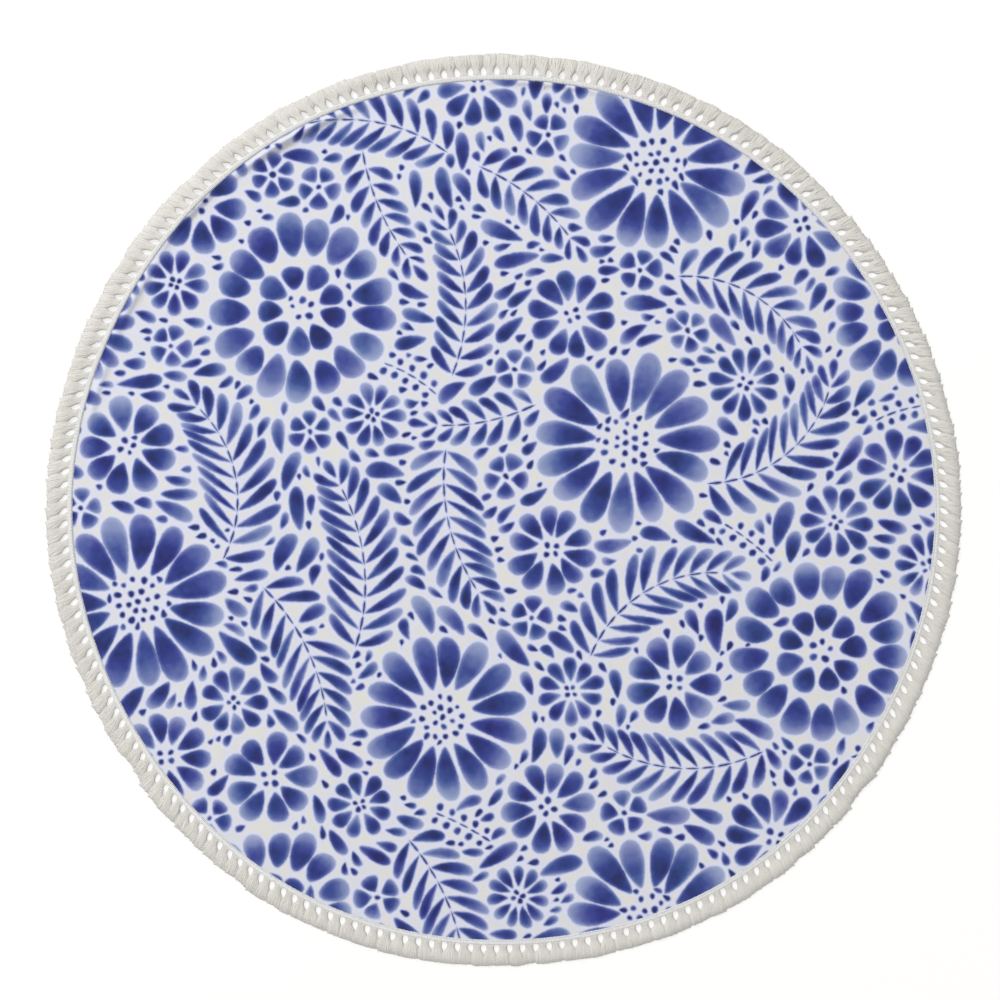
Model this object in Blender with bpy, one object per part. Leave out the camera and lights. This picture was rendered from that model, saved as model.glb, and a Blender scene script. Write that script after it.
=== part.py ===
"""Round beach towel, laid out flat: a disc of thin towelling in a cotton fringe.

Metres, +Z up. The back of the towel lies on z = 0 and the middle of its outline is the
origin. Directions are angles from +X towards +Y, and +Y is the towel's top edge as it is
seen from above.

The towel has two pieces. The cloth is one disc, hem included. The fringe is one strip: a
narrow heading that is sewn down over the hem, gathered bars of yarn that come off it, and a
soft tuft at the end of each bar. The gaps between the bars go right through. Near the top
left the sewing has drawn the rim up into low puckers, and the fringe rises with it.
"""
import math
import random
from collections import namedtuple

import bmesh
import bpy
from mathutils import Vector
from mathutils.geometry import delaunay_2d_cdt

# Driving sizes (m)
TOWEL_DIAMETER = 1.500  # over the tufts
STRAND_REACH = 0.036  # from the heading's outer edge to the tips of the tufts
HEADING_WIDTH = 0.008
HEADING_THICKNESS = 0.0015
CLOTH_THICKNESS = 0.0025
CLEARANCE = 0.0003  # between the heading and the cloth under it
HEM_INSET = 0.0005  # the cloth ends this far inside the heading's outer edge

HEADING_OUTER = TOWEL_DIAMETER / 2 - STRAND_REACH
HEADING_BOTTOM = CLOTH_THICKNESS + CLEARANCE
HEADING_TOP = HEADING_BOTTOM + HEADING_THICKNESS
CLOTH_RADIUS = HEADING_OUTER - HEM_INSET

# How the lying towel departs from a true circle.
# Columns: waves round the rim, height of a wave (m), direction of one crest (degrees).
RIM_WAVES = (
    (1, 0.0016, 276.0),
    (2, 0.0016, 126.0),
    (3, 0.0011, 3.0),
    (5, 0.0007, 27.0),
    (6, 0.0017, 2.5),
)

# Puckers, where the sewing has drawn the rim up off the ground. Each is one wave along the
# rim. Its direction and half its length are in degrees. Its crest and its inner foot are
# distances in from the cloth's edge (m), and then come its height (m) and the share of that
# height that the heading and the edge have.
Pucker = namedtuple("Pucker", "direction half_length crest foot height edge_share")
PUCKERS = (
    Pucker(84.0, 13.0, crest=0.0100, foot=0.0175, height=0.0055, edge_share=0.6),
    Pucker(120.0, 15.0, crest=0.0145, foot=0.0250, height=0.0110, edge_share=0.6),
    Pucker(136.0, 11.0, crest=0.0085, foot=0.0180, height=0.0075, edge_share=1.0),
    Pucker(150.0, 11.0, crest=0.0145, foot=0.0255, height=0.0060, edge_share=0.6),
    Pucker(163.0, 9.0, crest=0.0190, foot=0.0300, height=0.0045, edge_share=0.5),
)
PUCKER_START = 0.0085  # distance in where the cloth starts to leave the heading's height
LEAST_CLIMB = 0.001  # shortest way from there to a crest
FLAT = 0.00005  # less lift than this needs no points of its own

# Rows of points along the puckers.
# Columns: distance in from the cloth's edge (m), points to a whole turn.
PUCKER_ROWS = (
    (0.0042, 288),
    (0.0085, 288),
    (0.0105, 144),
    (0.0130, 144),
    (0.0155, 144),
    (0.0185, 144),
    (0.0215, 144),
    (0.0250, 144),
    (0.0300, 144),
)

CLOTH_EDGE_POINTS = 288
CLOTH_RINGS = 11
SMALLEST_RING_COUNT = 6
INSIDE_OUTLINE = 1  # triangles only inside the outline
POINT_TOLERANCE = 1e-6

# Fringe
STRAND_COUNT = 210
BAR_WIDTH = 0.0118  # a gathered bar of yarn at its root
STRAND_DROOP = 0.45  # sideways drift for each metre out, where the rim faces left or right
SLIT = 0.0005  # between two tufts of one clump
CLUMP_SLIT = 0.0022  # between two clumps
CLUMP_SIZES = (2, 3, 3, 4)
PARTING_SHIFT = 0.10  # how far a parting strays, as a share of the strands' spacing
TIP_STRAY = 0.0016  # how much longer or shorter a tuft is than its neighbours (m)
TOP_STRAY = 0.12  # how much fuller or flatter a tuft is, as a share of its height
STRAY_SEED = 7

# A strand from its root to its tip.
# Columns: distance out (share of the reach), spread (0 is a gathered bar, 1 fills the room
# between the partings), bottom (m), top (m), width of the top (share of the bottom's).
STRAND_SECTIONS = (
    (0.00, 0.00, HEADING_BOTTOM, HEADING_TOP, 1.00),
    (0.17, 0.00, 0.0, 0.0042, 0.84),
    (0.42, 0.86, 0.0, 0.0052, 0.72),
    (0.80, 1.00, 0.0, 0.0060, 0.66),
    (1.00, 0.80, 0.0, 0.0028, 0.72),
)

# Short notches where the tufts are worn or tucked in.
# Columns: direction (degrees), depth (m), half width (degrees).
NOTCHES = (
    (43.0, 0.0030, 1.4),
    (132.0, 0.0030, 1.4),
    (202.0, 0.0035, 1.6),
    (214.0, 0.0055, 1.9),
    (234.0, 0.0040, 1.5),
    (273.5, 0.0030, 1.3),
    (322.5, 0.0045, 1.6),
)

CLOTH_COLOR = (0.76, 0.75, 0.72, 1.0)
YARN_COLOR = (0.68, 0.66, 0.61, 1.0)


def clear_scene():
    """Remove every object, so that the towel is alone."""
    for old in list(bpy.data.objects):
        bpy.data.objects.remove(old, do_unlink=True)


def fabric(name, color, roughness):
    """A matt material in one colour."""
    material = bpy.data.materials.new(name)
    material.use_nodes = True
    shader = material.node_tree.nodes["Principled BSDF"]
    shader.inputs["Base Color"].default_value = color
    shader.inputs["Roughness"].default_value = roughness
    shader.inputs["Metallic"].default_value = 0.0
    return material


def new_object(name, bm, material, collection):
    """Turn the bmesh into a named object that wears one material."""
    mesh = bpy.data.meshes.new(name)
    bm.to_mesh(mesh)
    bm.free()
    mesh.materials.append(material)
    piece = bpy.data.objects.new(name, mesh)
    collection.objects.link(piece)
    return piece


def rim_wave(angle):
    """How far the edge swings out from the circle in this direction (m)."""
    return sum(
        height * math.cos(count * (angle - math.radians(crest)))
        for count, height, crest in RIM_WAVES
    )


def soft_step(share):
    """0 up to 0, 1 from 1 on, and a soft step between."""
    share = min(max(share, 0.0), 1.0)
    return share ** 2 * (3 - 2 * share)


def pucker_lift(angle, inset):
    """How far the back lies above the ground at a distance in from the cloth's edge (m)."""
    lift = 0.0
    for pucker in PUCKERS:
        away = (math.degrees(angle) - pucker.direction + 180.0) % 360.0 - 180.0
        if abs(away) >= pucker.half_length:
            continue
        swell = math.cos(math.pi / 2 * away / pucker.half_length) ** 2
        if inset < pucker.crest:
            way = max(pucker.crest - PUCKER_START, LEAST_CLIMB)
            climb = soft_step((inset - PUCKER_START) / way)
            share = pucker.edge_share + (1 - pucker.edge_share) * climb
        else:
            share = soft_step((pucker.foot - inset) / (pucker.foot - pucker.crest))
        lift += pucker.height * swell * share
    return lift


def rim_point(angle, out, height):
    """A point at a distance out from the heading's outer edge.

    It droops sideways as the strands do, and rises where a pucker lifts the heading. That
    rise dies away to nothing at the tips of the tufts.
    """
    radius = HEADING_OUTER + rim_wave(angle) + out
    droop = -STRAND_DROOP * math.cos(angle) * max(out, 0.0)
    turned = angle + droop / radius
    lift = pucker_lift(angle, 0.0) * (1 - soft_step(out / STRAND_REACH))
    return Vector((radius * math.cos(turned), radius * math.sin(turned), height + lift))


# Cloth


def cloth_lift(point):
    """Height of the cloth's back above the ground at a point (m)."""
    angle = math.atan2(point.y, point.x)
    return pucker_lift(angle, CLOTH_RADIUS + rim_wave(angle) - point.length)


def ring_points(radius, count, wave_share):
    """Points round one ring, which takes on a share of the rim's waves."""
    points = []
    for step in range(count):
        angle = math.tau * step / count
        reach = radius + wave_share * rim_wave(angle)
        points.append(Vector((reach * math.cos(angle), reach * math.sin(angle))))
    return points


def is_lifted(point):
    """Whether the rim beside this point of the cloth stands off the ground."""
    return pucker_lift(math.atan2(point.y, point.x), 0.0) > FLAT


def cloth_points():
    """The points of the cloth's edge, and the points inside it."""
    edge = ring_points(CLOTH_RADIUS, CLOTH_EDGE_POINTS, 1.0)
    inside = [Vector((0.0, 0.0))]
    spacing = CLOTH_RADIUS / (CLOTH_RINGS + 1)
    for ring in range(1, CLOTH_RINGS + 1):
        count = max(SMALLEST_RING_COUNT, round(math.tau * ring))
        share = ring / (CLOTH_RINGS + 1)
        inside += ring_points(ring * spacing, count, share)
    for inset, count in PUCKER_ROWS:
        row = ring_points(CLOTH_RADIUS - inset, count, 1.0)
        inside += [point for point in row if is_lifted(point)]
    return edge, inside


def make_cloth(collection):
    """The disc of towelling: its back as one sheet, drawn straight up to its face."""
    edge, inside = cloth_points()
    outline = list(range(len(edge)))
    points, _, triangles, _, _, _ = delaunay_2d_cdt(
        edge + inside, [], [outline], INSIDE_OUTLINE, POINT_TOLERANCE
    )
    bm = bmesh.new()
    corners = [bm.verts.new((point.x, point.y, cloth_lift(point))) for point in points]
    for triangle in triangles:
        bm.faces.new([corners[index] for index in triangle])
    sheet = bm.verts[:] + bm.edges[:] + bm.faces[:]
    drawn = bmesh.ops.extrude_face_region(bm, geom=sheet, use_keep_orig=True)
    face = [item for item in drawn["geom"] if isinstance(item, bmesh.types.BMVert)]
    bmesh.ops.translate(bm, verts=face, vec=(0.0, 0.0, CLOTH_THICKNESS))
    bmesh.ops.recalc_face_normals(bm, faces=bm.faces)
    return new_object("cloth", bm, fabric("towelling", CLOTH_COLOR, 0.90), collection)


# Fringe


def clump_ends(draw):
    """The strands that are the last of their clump, going round."""
    ends = set()
    last = -1
    while last < STRAND_COUNT - 1:
        last = min(last + draw.choice(CLUMP_SIZES), STRAND_COUNT - 1)
        ends.add(last)
    return ends


def tuft_rooms(draw):
    """Start and end angle of the room that each tuft may fill."""
    step = math.tau / STRAND_COUNT
    ends = clump_ends(draw)
    partings = []
    for index in range(STRAND_COUNT):
        angle = (index + 1 + draw.uniform(-PARTING_SHIFT, PARTING_SHIFT)) * step
        slit = CLUMP_SLIT if index in ends else SLIT
        half = slit / 2 / HEADING_OUTER
        partings.append((angle - half, angle + half))
    rooms = []
    for index in range(STRAND_COUNT):
        start = partings[index - 1][1] - (math.tau if index == 0 else 0.0)
        rooms.append((start, partings[index][0]))
    return rooms


def notch_depth(angle):
    """How far the tufts are tucked in at this direction (m)."""
    depth = 0.0
    for direction, deepest, half_width in NOTCHES:
        away = abs((math.degrees(angle) - direction + 180.0) % 360.0 - 180.0)
        if away < half_width:
            depth = max(depth, deepest * math.cos(math.pi / 2 * away / half_width))
    return depth


def add_heading(bm):
    """The heading strip, as a closed ring that is left open where each bar comes off."""
    step = math.tau / STRAND_COUNT
    half_bar = BAR_WIDTH / 2 / HEADING_OUTER
    stations = []
    for index in range(STRAND_COUNT):
        for side in (-1, 1):
            angle = (index + 0.5) * step + side * half_bar
            corners = [
                rim_point(angle, out, height)
                for out in (-HEADING_WIDTH, 0.0)
                for height in (HEADING_BOTTOM, HEADING_TOP)
            ]
            stations.append([bm.verts.new(corner) for corner in corners])
    for index, (inner_low, inner_high, outer_low, outer_high) in enumerate(stations):
        after = stations[(index + 1) % len(stations)]
        bm.faces.new((inner_low, inner_high, after[1], after[0]))
        bm.faces.new((inner_high, outer_high, after[3], after[1]))
        bm.faces.new((outer_low, inner_low, after[0], after[2]))
        is_gap = index % 2 == 1
        if is_gap:
            bm.faces.new((outer_high, outer_low, after[2], after[3]))
    return stations


def add_strand(bm, index, room, stations, draw):
    """One bar and its tuft: a four-sided loft from the heading to the tuft's tip."""
    step = math.tau / STRAND_COUNT
    middle = (index + 0.5) * step
    half_bar = BAR_WIDTH / 2 / HEADING_OUTER
    tip_out = STRAND_REACH + draw.uniform(-TIP_STRAY, TIP_STRAY) - notch_depth(middle)
    fullness = 1.0 + draw.uniform(-TOP_STRAY, TOP_STRAY)
    start_station, end_station = stations[2 * index], stations[2 * index + 1]
    section = [start_station[2], end_station[2], end_station[3], start_station[3]]
    for out_share, spread, bottom, top, top_width in STRAND_SECTIONS[1:]:
        start = (middle - half_bar) * (1 - spread) + room[0] * spread
        end = (middle + half_bar) * (1 - spread) + room[1] * spread
        inward = (end - start) * (1 - top_width) / 2
        out = tip_out * out_share
        corners = (
            (start, bottom),
            (end, bottom),
            (end - inward, top * fullness),
            (start + inward, top * fullness),
        )
        following = [bm.verts.new(rim_point(angle, out, height)) for angle, height in corners]
        for side in range(4):
            beside = (side + 1) % 4
            bm.faces.new((section[side], section[beside], following[beside], following[side]))
        section = following
    bm.faces.new(section)


def make_fringe(collection):
    """The heading with all its strands, as one piece."""
    draw = random.Random(STRAY_SEED)
    rooms = tuft_rooms(draw)
    bm = bmesh.new()
    stations = add_heading(bm)
    for index, room in enumerate(rooms):
        add_strand(bm, index, room, stations, draw)
    bmesh.ops.recalc_face_normals(bm, faces=bm.faces)
    return new_object("fringe", bm, fabric("cotton_yarn", YARN_COLOR, 0.95), collection)


def centre_on_origin(pieces, outer_piece):
    """Move the pieces so that the middle of the outer piece's outline is the origin."""
    xs = [vertex.co.x for vertex in outer_piece.data.vertices]
    ys = [vertex.co.y for vertex in outer_piece.data.vertices]
    middle = Vector(((min(xs) + max(xs)) / 2, (min(ys) + max(ys)) / 2, 0.0))
    for piece in pieces:
        piece.location = -middle


def main():
    clear_scene()
    collection = bpy.data.collections.new("round_beach_towel")
    bpy.context.scene.collection.children.link(collection)
    cloth = make_cloth(collection)
    fringe = make_fringe(collection)
    centre_on_origin((cloth, fringe), fringe)


main()
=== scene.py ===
# %% [markdown]
# # A round beach towel, printed and fringed
#
# The towel lies flat on a pale floor and is seen from straight above. Two things make it:
# a disc of thin towelling with a hand-painted look, and a ring of cotton fringe sewn over
# its hem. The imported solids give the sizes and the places, and this lesson dresses them.
# Every size is in metres. Directions are angles from +X towards +Y.

# %% The frame
import math
import random
from dataclasses import dataclass

import bpy
import numpy as np
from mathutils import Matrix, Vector, noise
from mathutils.geometry import delaunay_2d_cdt
from mathutils.kdtree import KDTree


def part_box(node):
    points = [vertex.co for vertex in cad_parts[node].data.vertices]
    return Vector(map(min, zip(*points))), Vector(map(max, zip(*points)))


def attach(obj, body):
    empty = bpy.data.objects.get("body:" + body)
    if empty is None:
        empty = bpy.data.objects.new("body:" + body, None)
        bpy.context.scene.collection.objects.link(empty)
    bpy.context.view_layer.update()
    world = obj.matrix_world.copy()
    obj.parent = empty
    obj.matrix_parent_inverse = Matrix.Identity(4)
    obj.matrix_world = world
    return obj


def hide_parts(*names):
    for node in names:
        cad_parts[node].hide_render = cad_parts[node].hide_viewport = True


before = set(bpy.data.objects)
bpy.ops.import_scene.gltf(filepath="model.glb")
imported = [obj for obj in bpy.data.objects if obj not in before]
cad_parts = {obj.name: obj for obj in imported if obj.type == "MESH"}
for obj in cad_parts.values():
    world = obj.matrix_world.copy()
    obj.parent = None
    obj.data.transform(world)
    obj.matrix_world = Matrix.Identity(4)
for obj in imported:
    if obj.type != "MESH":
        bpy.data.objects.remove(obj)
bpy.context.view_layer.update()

# %% [markdown]
# ## The camera
#
# The picture was taken from straight above with a long lens, so the rim shows no
# perspective. A camera that looks along -Z needs no rotation. Its lens is worked out from
# the width of floor that fills the frame, and its place from where the towel's middle lies
# in the picture, which is a little right of the frame's middle and below it.

# %% Camera
FRAME_PIXELS = 1000
METRES_PER_PIXEL = 0.001641  # the towel's 1.50 m spread over 914 pixels
TOWEL_PIXEL = (503.5, 510.0)  # middle of the towel in the frame, from its top left corner
CAMERA_HEIGHT = 4.0
SENSOR_WIDTH = 36.0  # millimetres


def add_camera():
    """A camera straight above that frames the towel as the picture does."""
    camera = bpy.data.objects.new("camera", bpy.data.cameras.new("camera"))
    bpy.context.scene.collection.objects.link(camera)
    right = (FRAME_PIXELS / 2 - TOWEL_PIXEL[0]) * METRES_PER_PIXEL
    up = (TOWEL_PIXEL[1] - FRAME_PIXELS / 2) * METRES_PER_PIXEL
    camera.location = (right, up, CAMERA_HEIGHT)
    camera.data.sensor_width = SENSOR_WIDTH
    camera.data.lens = SENSOR_WIDTH * CAMERA_HEIGHT / (FRAME_PIXELS * METRES_PER_PIXEL)
    bpy.context.scene.camera = camera
    return camera


camera = add_camera()
print("lens", round(camera.data.lens, 1), "mm at", tuple(round(v, 4) for v in camera.location))

# %% [markdown]
# ## Shader sums
#
# A finish is easier to read as sums than as a list of nodes. `Wire` wraps the output of a
# shader node, so that `1 - mask * tone` adds its Math nodes by itself. Every other node
# comes from `node`, which takes its type, its settings and what goes into its sockets. A
# material's sums start from the place of a point, or from marks on the corners of its mesh.

# %% A wire with Python's operators
def math_method(operation, swapped=False):
    """A method that adds a Math node; swapped is for a wire on the operator's right."""

    def method(self, other=0.0):
        values = (other, self) if swapped else (self, other)
        return self.node("ShaderNodeMath", {"operation": operation}, dict(enumerate(values)))

    return method


class Wire:
    """The output of a shader node, which can be used in sums."""

    __add__ = math_method("ADD")
    __radd__ = math_method("ADD", swapped=True)
    __sub__ = math_method("SUBTRACT")
    __rsub__ = math_method("SUBTRACT", swapped=True)
    __mul__ = math_method("MULTIPLY")
    __rmul__ = math_method("MULTIPLY", swapped=True)
    __truediv__ = math_method("DIVIDE")
    __rtruediv__ = math_method("DIVIDE", swapped=True)
    __pow__ = math_method("POWER")
    __abs__ = math_method("ABSOLUTE")
    at_least = math_method("MAXIMUM")
    sign = math_method("SIGN")
    sine = math_method("SINE")

    def __init__(self, tree, socket=None):
        self.tree = tree
        self.socket = socket

    def node(self, kind, settings=None, sockets=None, output=0):
        """Add a node: its settings first, then the values or wires of its sockets."""
        made = self.tree.nodes.new(kind)
        for name, value in (settings or {}).items():
            if name == "stops":
                self.set_stops(made.color_ramp, value)
            else:
                setattr(made, name, value)
        for name, value in (sockets or {}).items():
            if isinstance(value, Wire):
                self.tree.links.new(value.socket, made.inputs[name])
            else:
                made.inputs[name].default_value = value
        return Wire(self.tree, made.outputs[output] if len(made.outputs) else None)

    @staticmethod
    def set_stops(ramp, stops):
        """Give a colour ramp its (position, colour) stops."""
        while len(ramp.elements) < len(stops):
            ramp.elements.new(1.0)
        for element, (position, color) in zip(ramp.elements, stops):
            element.position = position
            element.color = color

    def smooth(self, start, end):
        """0 before start, 1 after end, and a soft step between; start may be the larger."""
        return self.node(
            "ShaderNodeMapRange",
            {"interpolation_type": "SMOOTHSTEP"},
            {"Value": self, "From Min": start, "From Max": end},
        )

    def split(self):
        """The three numbers of a vector."""
        first = self.node("ShaderNodeSeparateXYZ", None, {0: self})
        return [Wire(self.tree, socket) for socket in first.socket.node.outputs]

    def blend(self, color_a, color_b):
        """Colour A where this is 0 and colour B where it is 1."""
        sockets = {0: self, 6: color_a, 7: color_b}  # 6, 7 and output 2 are those for colours
        return self.node("ShaderNodeMix", {"data_type": "RGBA"}, sockets, output=2)

    def tinted(self, hue=0.5, value=1.0):
        """This colour with its hue or its value turned a little; 0.5 and 1 leave it."""
        sockets = {"Hue": hue, "Value": value, "Color": self}
        return self.node("ShaderNodeHueSaturation", None, sockets)

    def noise(self, scale, detail):
        """Soft noise from -0.5 to 0.5 at this place, with about scale waves to the metre."""
        sockets = {"Vector": self, "Scale": scale, "Detail": detail}
        return self.node("ShaderNodeTexNoise", {"noise_dimensions": "3D"}, sockets) - 0.5


# %% Materials
def new_material(name):
    """An empty material and a loose wire to start its sums from."""
    material = bpy.data.materials.new(name)
    material.use_nodes = True
    material.node_tree.nodes.clear()
    return material, Wire(material.node_tree)


def finish_material(start, shader_sockets):
    """Put a Principled shader with these sockets on the material's surface."""
    surface = start.node("ShaderNodeBsdfPrincipled", None, shader_sockets)
    start.node("ShaderNodeOutputMaterial", None, {"Surface": surface})


def finish_textile(start, color, height, depth, roughness, sheen, sheen_roughness, gloss):
    """A matt and slightly furry surface, with a bump of this height (0 to 1) and depth (m)."""
    relief = {"Strength": 1.0, "Distance": depth, "Height": height}
    finish_material(start, {
        "Base Color": color,
        "Roughness": roughness,
        "Sheen Weight": sheen,
        "Sheen Roughness": sheen_roughness,
        "Specular IOR Level": gloss,
        "Normal": start.node("ShaderNodeBump", None, relief),
    })


def place_wire(start):
    """Where a point lies in its object, in metres."""
    return start.node("ShaderNodeTexCoord", output="Object")


# %% [markdown]
# ## Floor and light
#
# The towel lies on white in soft light from the upper left. A broad white sky gives most
# of the light, and one large lamp models the yarns and puts a thin shade inside the
# heading. The floor also glows by itself, so that it burns out to white even in the small
# gaps of the fringe. What lies on it is lit so brightly that its paints have to be darker
# than they look, all by the same factor.

# %% Colours as they are seen
LIGHT_LEVEL = 1.30  # how bright a white surface is on this floor; 1 is just white


def seen(red, green, blue):
    """The paint that looks like this screen colour (0 to 255) under the towel's light."""
    linear = [((c / 255 + 0.055) / 1.055) ** 2.4 for c in (red, green, blue)]
    return (*(value / LIGHT_LEVEL for value in linear), 1.0)


# %% Floor and lamp
FLOOR_SIZE = 90.0
FLOOR_DROP = 0.0002  # keeps the floor from touching the cloth
FLOOR_GREY = (0.235, 0.235, 0.235, 1.0)
FLOOR_GLOW_COLOR = (1.0, 0.99, 0.975, 1.0)
FLOOR_GLOW = 0.71
SKY_COLOR = (1.0, 0.995, 0.985, 1.0)
SKY_STRENGTH = 0.78
LAMP_PLACE = (-5.0, 5.5, 6.4)
LAMP_SIZE = 3.4
LAMP_POWER = 760.0


def add_floor():
    """A large pale floor just under the towel."""
    half = FLOOR_SIZE / 2
    mesh = bpy.data.meshes.new("floor")
    corners = [(-half, -half, 0), (half, -half, 0), (half, half, 0), (-half, half, 0)]
    mesh.from_pydata(corners, [], [(0, 1, 2, 3)])
    floor = bpy.data.objects.new("floor", mesh)
    floor.location.z = -FLOOR_DROP
    bpy.context.scene.collection.objects.link(floor)
    material, start = new_material("pale_floor")
    finish_material(start, {
        "Base Color": FLOOR_GREY,
        "Roughness": 0.9,
        "Emission Color": FLOOR_GLOW_COLOR,
        "Emission Strength": FLOOR_GLOW,
    })
    mesh.materials.append(material)


def add_light():
    """A white sky and one large soft lamp at the upper left."""
    world = bpy.data.worlds.new("soft_sky")
    world.use_nodes = True
    sky = world.node_tree.nodes["Background"].inputs
    sky["Color"].default_value = SKY_COLOR
    sky["Strength"].default_value = SKY_STRENGTH
    bpy.context.scene.world = world
    lamp = bpy.data.objects.new("lamp", bpy.data.lights.new("lamp", "AREA"))
    lamp.data.energy = LAMP_POWER
    lamp.data.size = LAMP_SIZE
    lamp.location = LAMP_PLACE
    lamp.rotation_euler = (-Vector(LAMP_PLACE)).to_track_quat("-Z", "Y").to_euler()
    bpy.context.scene.collection.objects.link(lamp)
    bpy.context.scene.view_settings.view_transform = "Standard"


add_floor()
add_light()
print("lamp", LAMP_POWER, "W from", LAMP_PLACE)

# %% [markdown]
# ## The towel's outline
#
# A towel that is spread by hand is never a true circle. Its edge swings in and out by a
# millimetre or two in a few long waves, which are the same here as in the solids. Going
# out from the edge, the fringe droops towards the bottom of the picture, most where the
# rim faces left or right. One function gives any point of the rim by its direction, its
# distance out from the heading and its height, and everything on the rim is built on it.

# %% Rim
TOWEL_DIAMETER = 1.500
STRAND_REACH = 0.036
HEADING_WIDTH = 0.008
HEM_INSET = 0.0005
CLOTH_THICKNESS = 0.0025
CLEARANCE = 0.0003
STRAND_COUNT = 210
STRAND_DROOP = 0.45
HEADING_OUTER = TOWEL_DIAMETER / 2 - STRAND_REACH
HEADING_BOTTOM = CLOTH_THICKNESS + CLEARANCE
CLOTH_RADIUS = HEADING_OUTER - HEM_INSET
EXTENT_STEPS = 144  # directions in which the rim's extent is looked up

# Columns: waves round the rim, height of a wave (m), direction of one crest (degrees).
RIM_WAVES = (
    (1, 0.0016, 276.0),
    (2, 0.0016, 126.0),
    (3, 0.0011, 3.0),
    (5, 0.0007, 27.0),
    (6, 0.0017, 2.5),
)


def rim_wave(angle):
    """How far the edge swings out from the circle in this direction; works on arrays."""
    return sum(
        height * np.cos(count * (angle - math.radians(crest)))
        for count, height, crest in RIM_WAVES
    )


def find_middle():
    """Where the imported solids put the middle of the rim's circle."""
    angles = np.linspace(0.0, math.tau, EXTENT_STEPS, endpoint=False)
    reach = CLOTH_RADIUS + rim_wave(angles)
    xs, ys = reach * np.cos(angles), reach * np.sin(angles)
    low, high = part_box("cloth")
    return (
        (low.x + high.x - xs.min() - xs.max()) / 2,
        (low.y + high.y - ys.min() - ys.max()) / 2,
    )


MIDDLE = find_middle()
print("middle of the rim, mm:", [round(1000 * v, 2) for v in MIDDLE])

# %% [markdown]
# ### Where the rim is drawn up
#
# At the upper left the stitching has drawn the rim up. The hem and the heading stand some
# millimetres off the floor there, the cloth falls away from them towards the middle, and
# that slope lies in shade. Each pucker is one soft wave along the rim, with a crest, an
# inner foot and a height, and where they overlap they add up. The solids have the same.

# %% Puckers
# Columns: direction, half length (degrees), distance in from the cloth's edge of the crest
# and of the inner foot (m), height (m), share of that height under the heading.
PUCKERS = (
    (84.0, 13.0, 0.0100, 0.0175, 0.0055, 0.6),
    (120.0, 15.0, 0.0145, 0.0250, 0.0110, 0.6),
    (136.0, 11.0, 0.0085, 0.0180, 0.0075, 1.0),
    (150.0, 11.0, 0.0145, 0.0255, 0.0060, 0.6),
    (163.0, 9.0, 0.0190, 0.0300, 0.0045, 0.5),
)
PUCKER_START = 0.0085  # distance in where the cloth starts to leave the heading's height
LEAST_CLIMB = 0.001  # keeps a crest right at that start from dividing by zero
LEAST_LIFT = 0.00005  # a lift that is too low to show


def soft_step(share):
    """0 up to 0, 1 from 1 on, and a soft step between."""
    share = np.clip(share, 0.0, 1.0)
    return share ** 2 * (3 - 2 * share)


def pucker_lift(angle, inset):
    """How far the cloth lies above the floor at a distance in from its edge."""
    lift = 0.0
    for direction, half_length, crest, foot, height, edge_share in PUCKERS:
        away = (np.degrees(angle) - direction + 180.0) % 360.0 - 180.0
        swell = np.cos(math.pi / 2 * np.clip(away / half_length, -1.0, 1.0)) ** 2
        climb = soft_step((inset - PUCKER_START) / max(crest - PUCKER_START, LEAST_CLIMB))
        outside = edge_share + (1 - edge_share) * climb
        inside = soft_step((foot - inset) / (foot - crest))
        lift = lift + height * swell * np.where(inset < crest, outside, inside)
    return lift


def angle_and_inset(x, y):
    """Direction of a place on the cloth, and its distance in from the cloth's edge."""
    dx = x - MIDDLE[0]
    dy = y - MIDDLE[1]
    angle = np.arctan2(dy, dx)
    return angle, CLOTH_RADIUS + rim_wave(angle) - np.hypot(dx, dy)


def pucker_rise(x, y):
    """How far the cloth lies above the floor at this place."""
    return pucker_lift(*angle_and_inset(x, y))


# %% Any point of the rim
def rim_point(angle, out, height):
    """Points at a distance out from the heading's outer edge, as an (..., 3) array."""
    angle, out, height = np.broadcast_arrays(angle, out, height)
    height = height + pucker_lift(angle, 0.0) * (1 - soft_step(out / STRAND_REACH))
    radius = HEADING_OUTER + rim_wave(angle) + out
    droop = -STRAND_DROOP * np.cos(angle) * np.maximum(out, 0.0)
    turned = angle + droop / radius
    xs = MIDDLE[0] + radius * np.cos(turned)
    ys = MIDDLE[1] + radius * np.sin(turned)
    return np.stack((xs, ys, height), axis=-1)


# %% [markdown]
# ## The print
#
# The cloth is printed all over with flowers, leaf sprays, berries and loose strokes, each
# a touch of an indigo brush. A picture could hold such a print, but a picture blurs when
# the camera comes close. Here every touch is a `Dab`: a drop with a narrow back end and a
# broad front end, with its own place, size, bend and tone. The motifs below are loops that
# lay dabs round a centre or along a curve.

# %% One touch of the brush
FATTENING = 0.33  # how much a drop's taper widens it, for each taper squared
BOW_MIDDLE = 0.35  # leaves a bent dab's middle about where a straight one's is
LEAST_SWELL = 0.15  # keeps the drop's formula from turning over behind its narrow end
LEAST_SLOPE = 0.01  # and from dividing by zero at its middle
MOST_DISCS = 5
DISCS_PER_WIDTH = 1.6  # along a dab, for each time that its width goes into its length
DISC_INSET = 0.8  # from a dab's end to the middle of its last disc, in half widths


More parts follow.
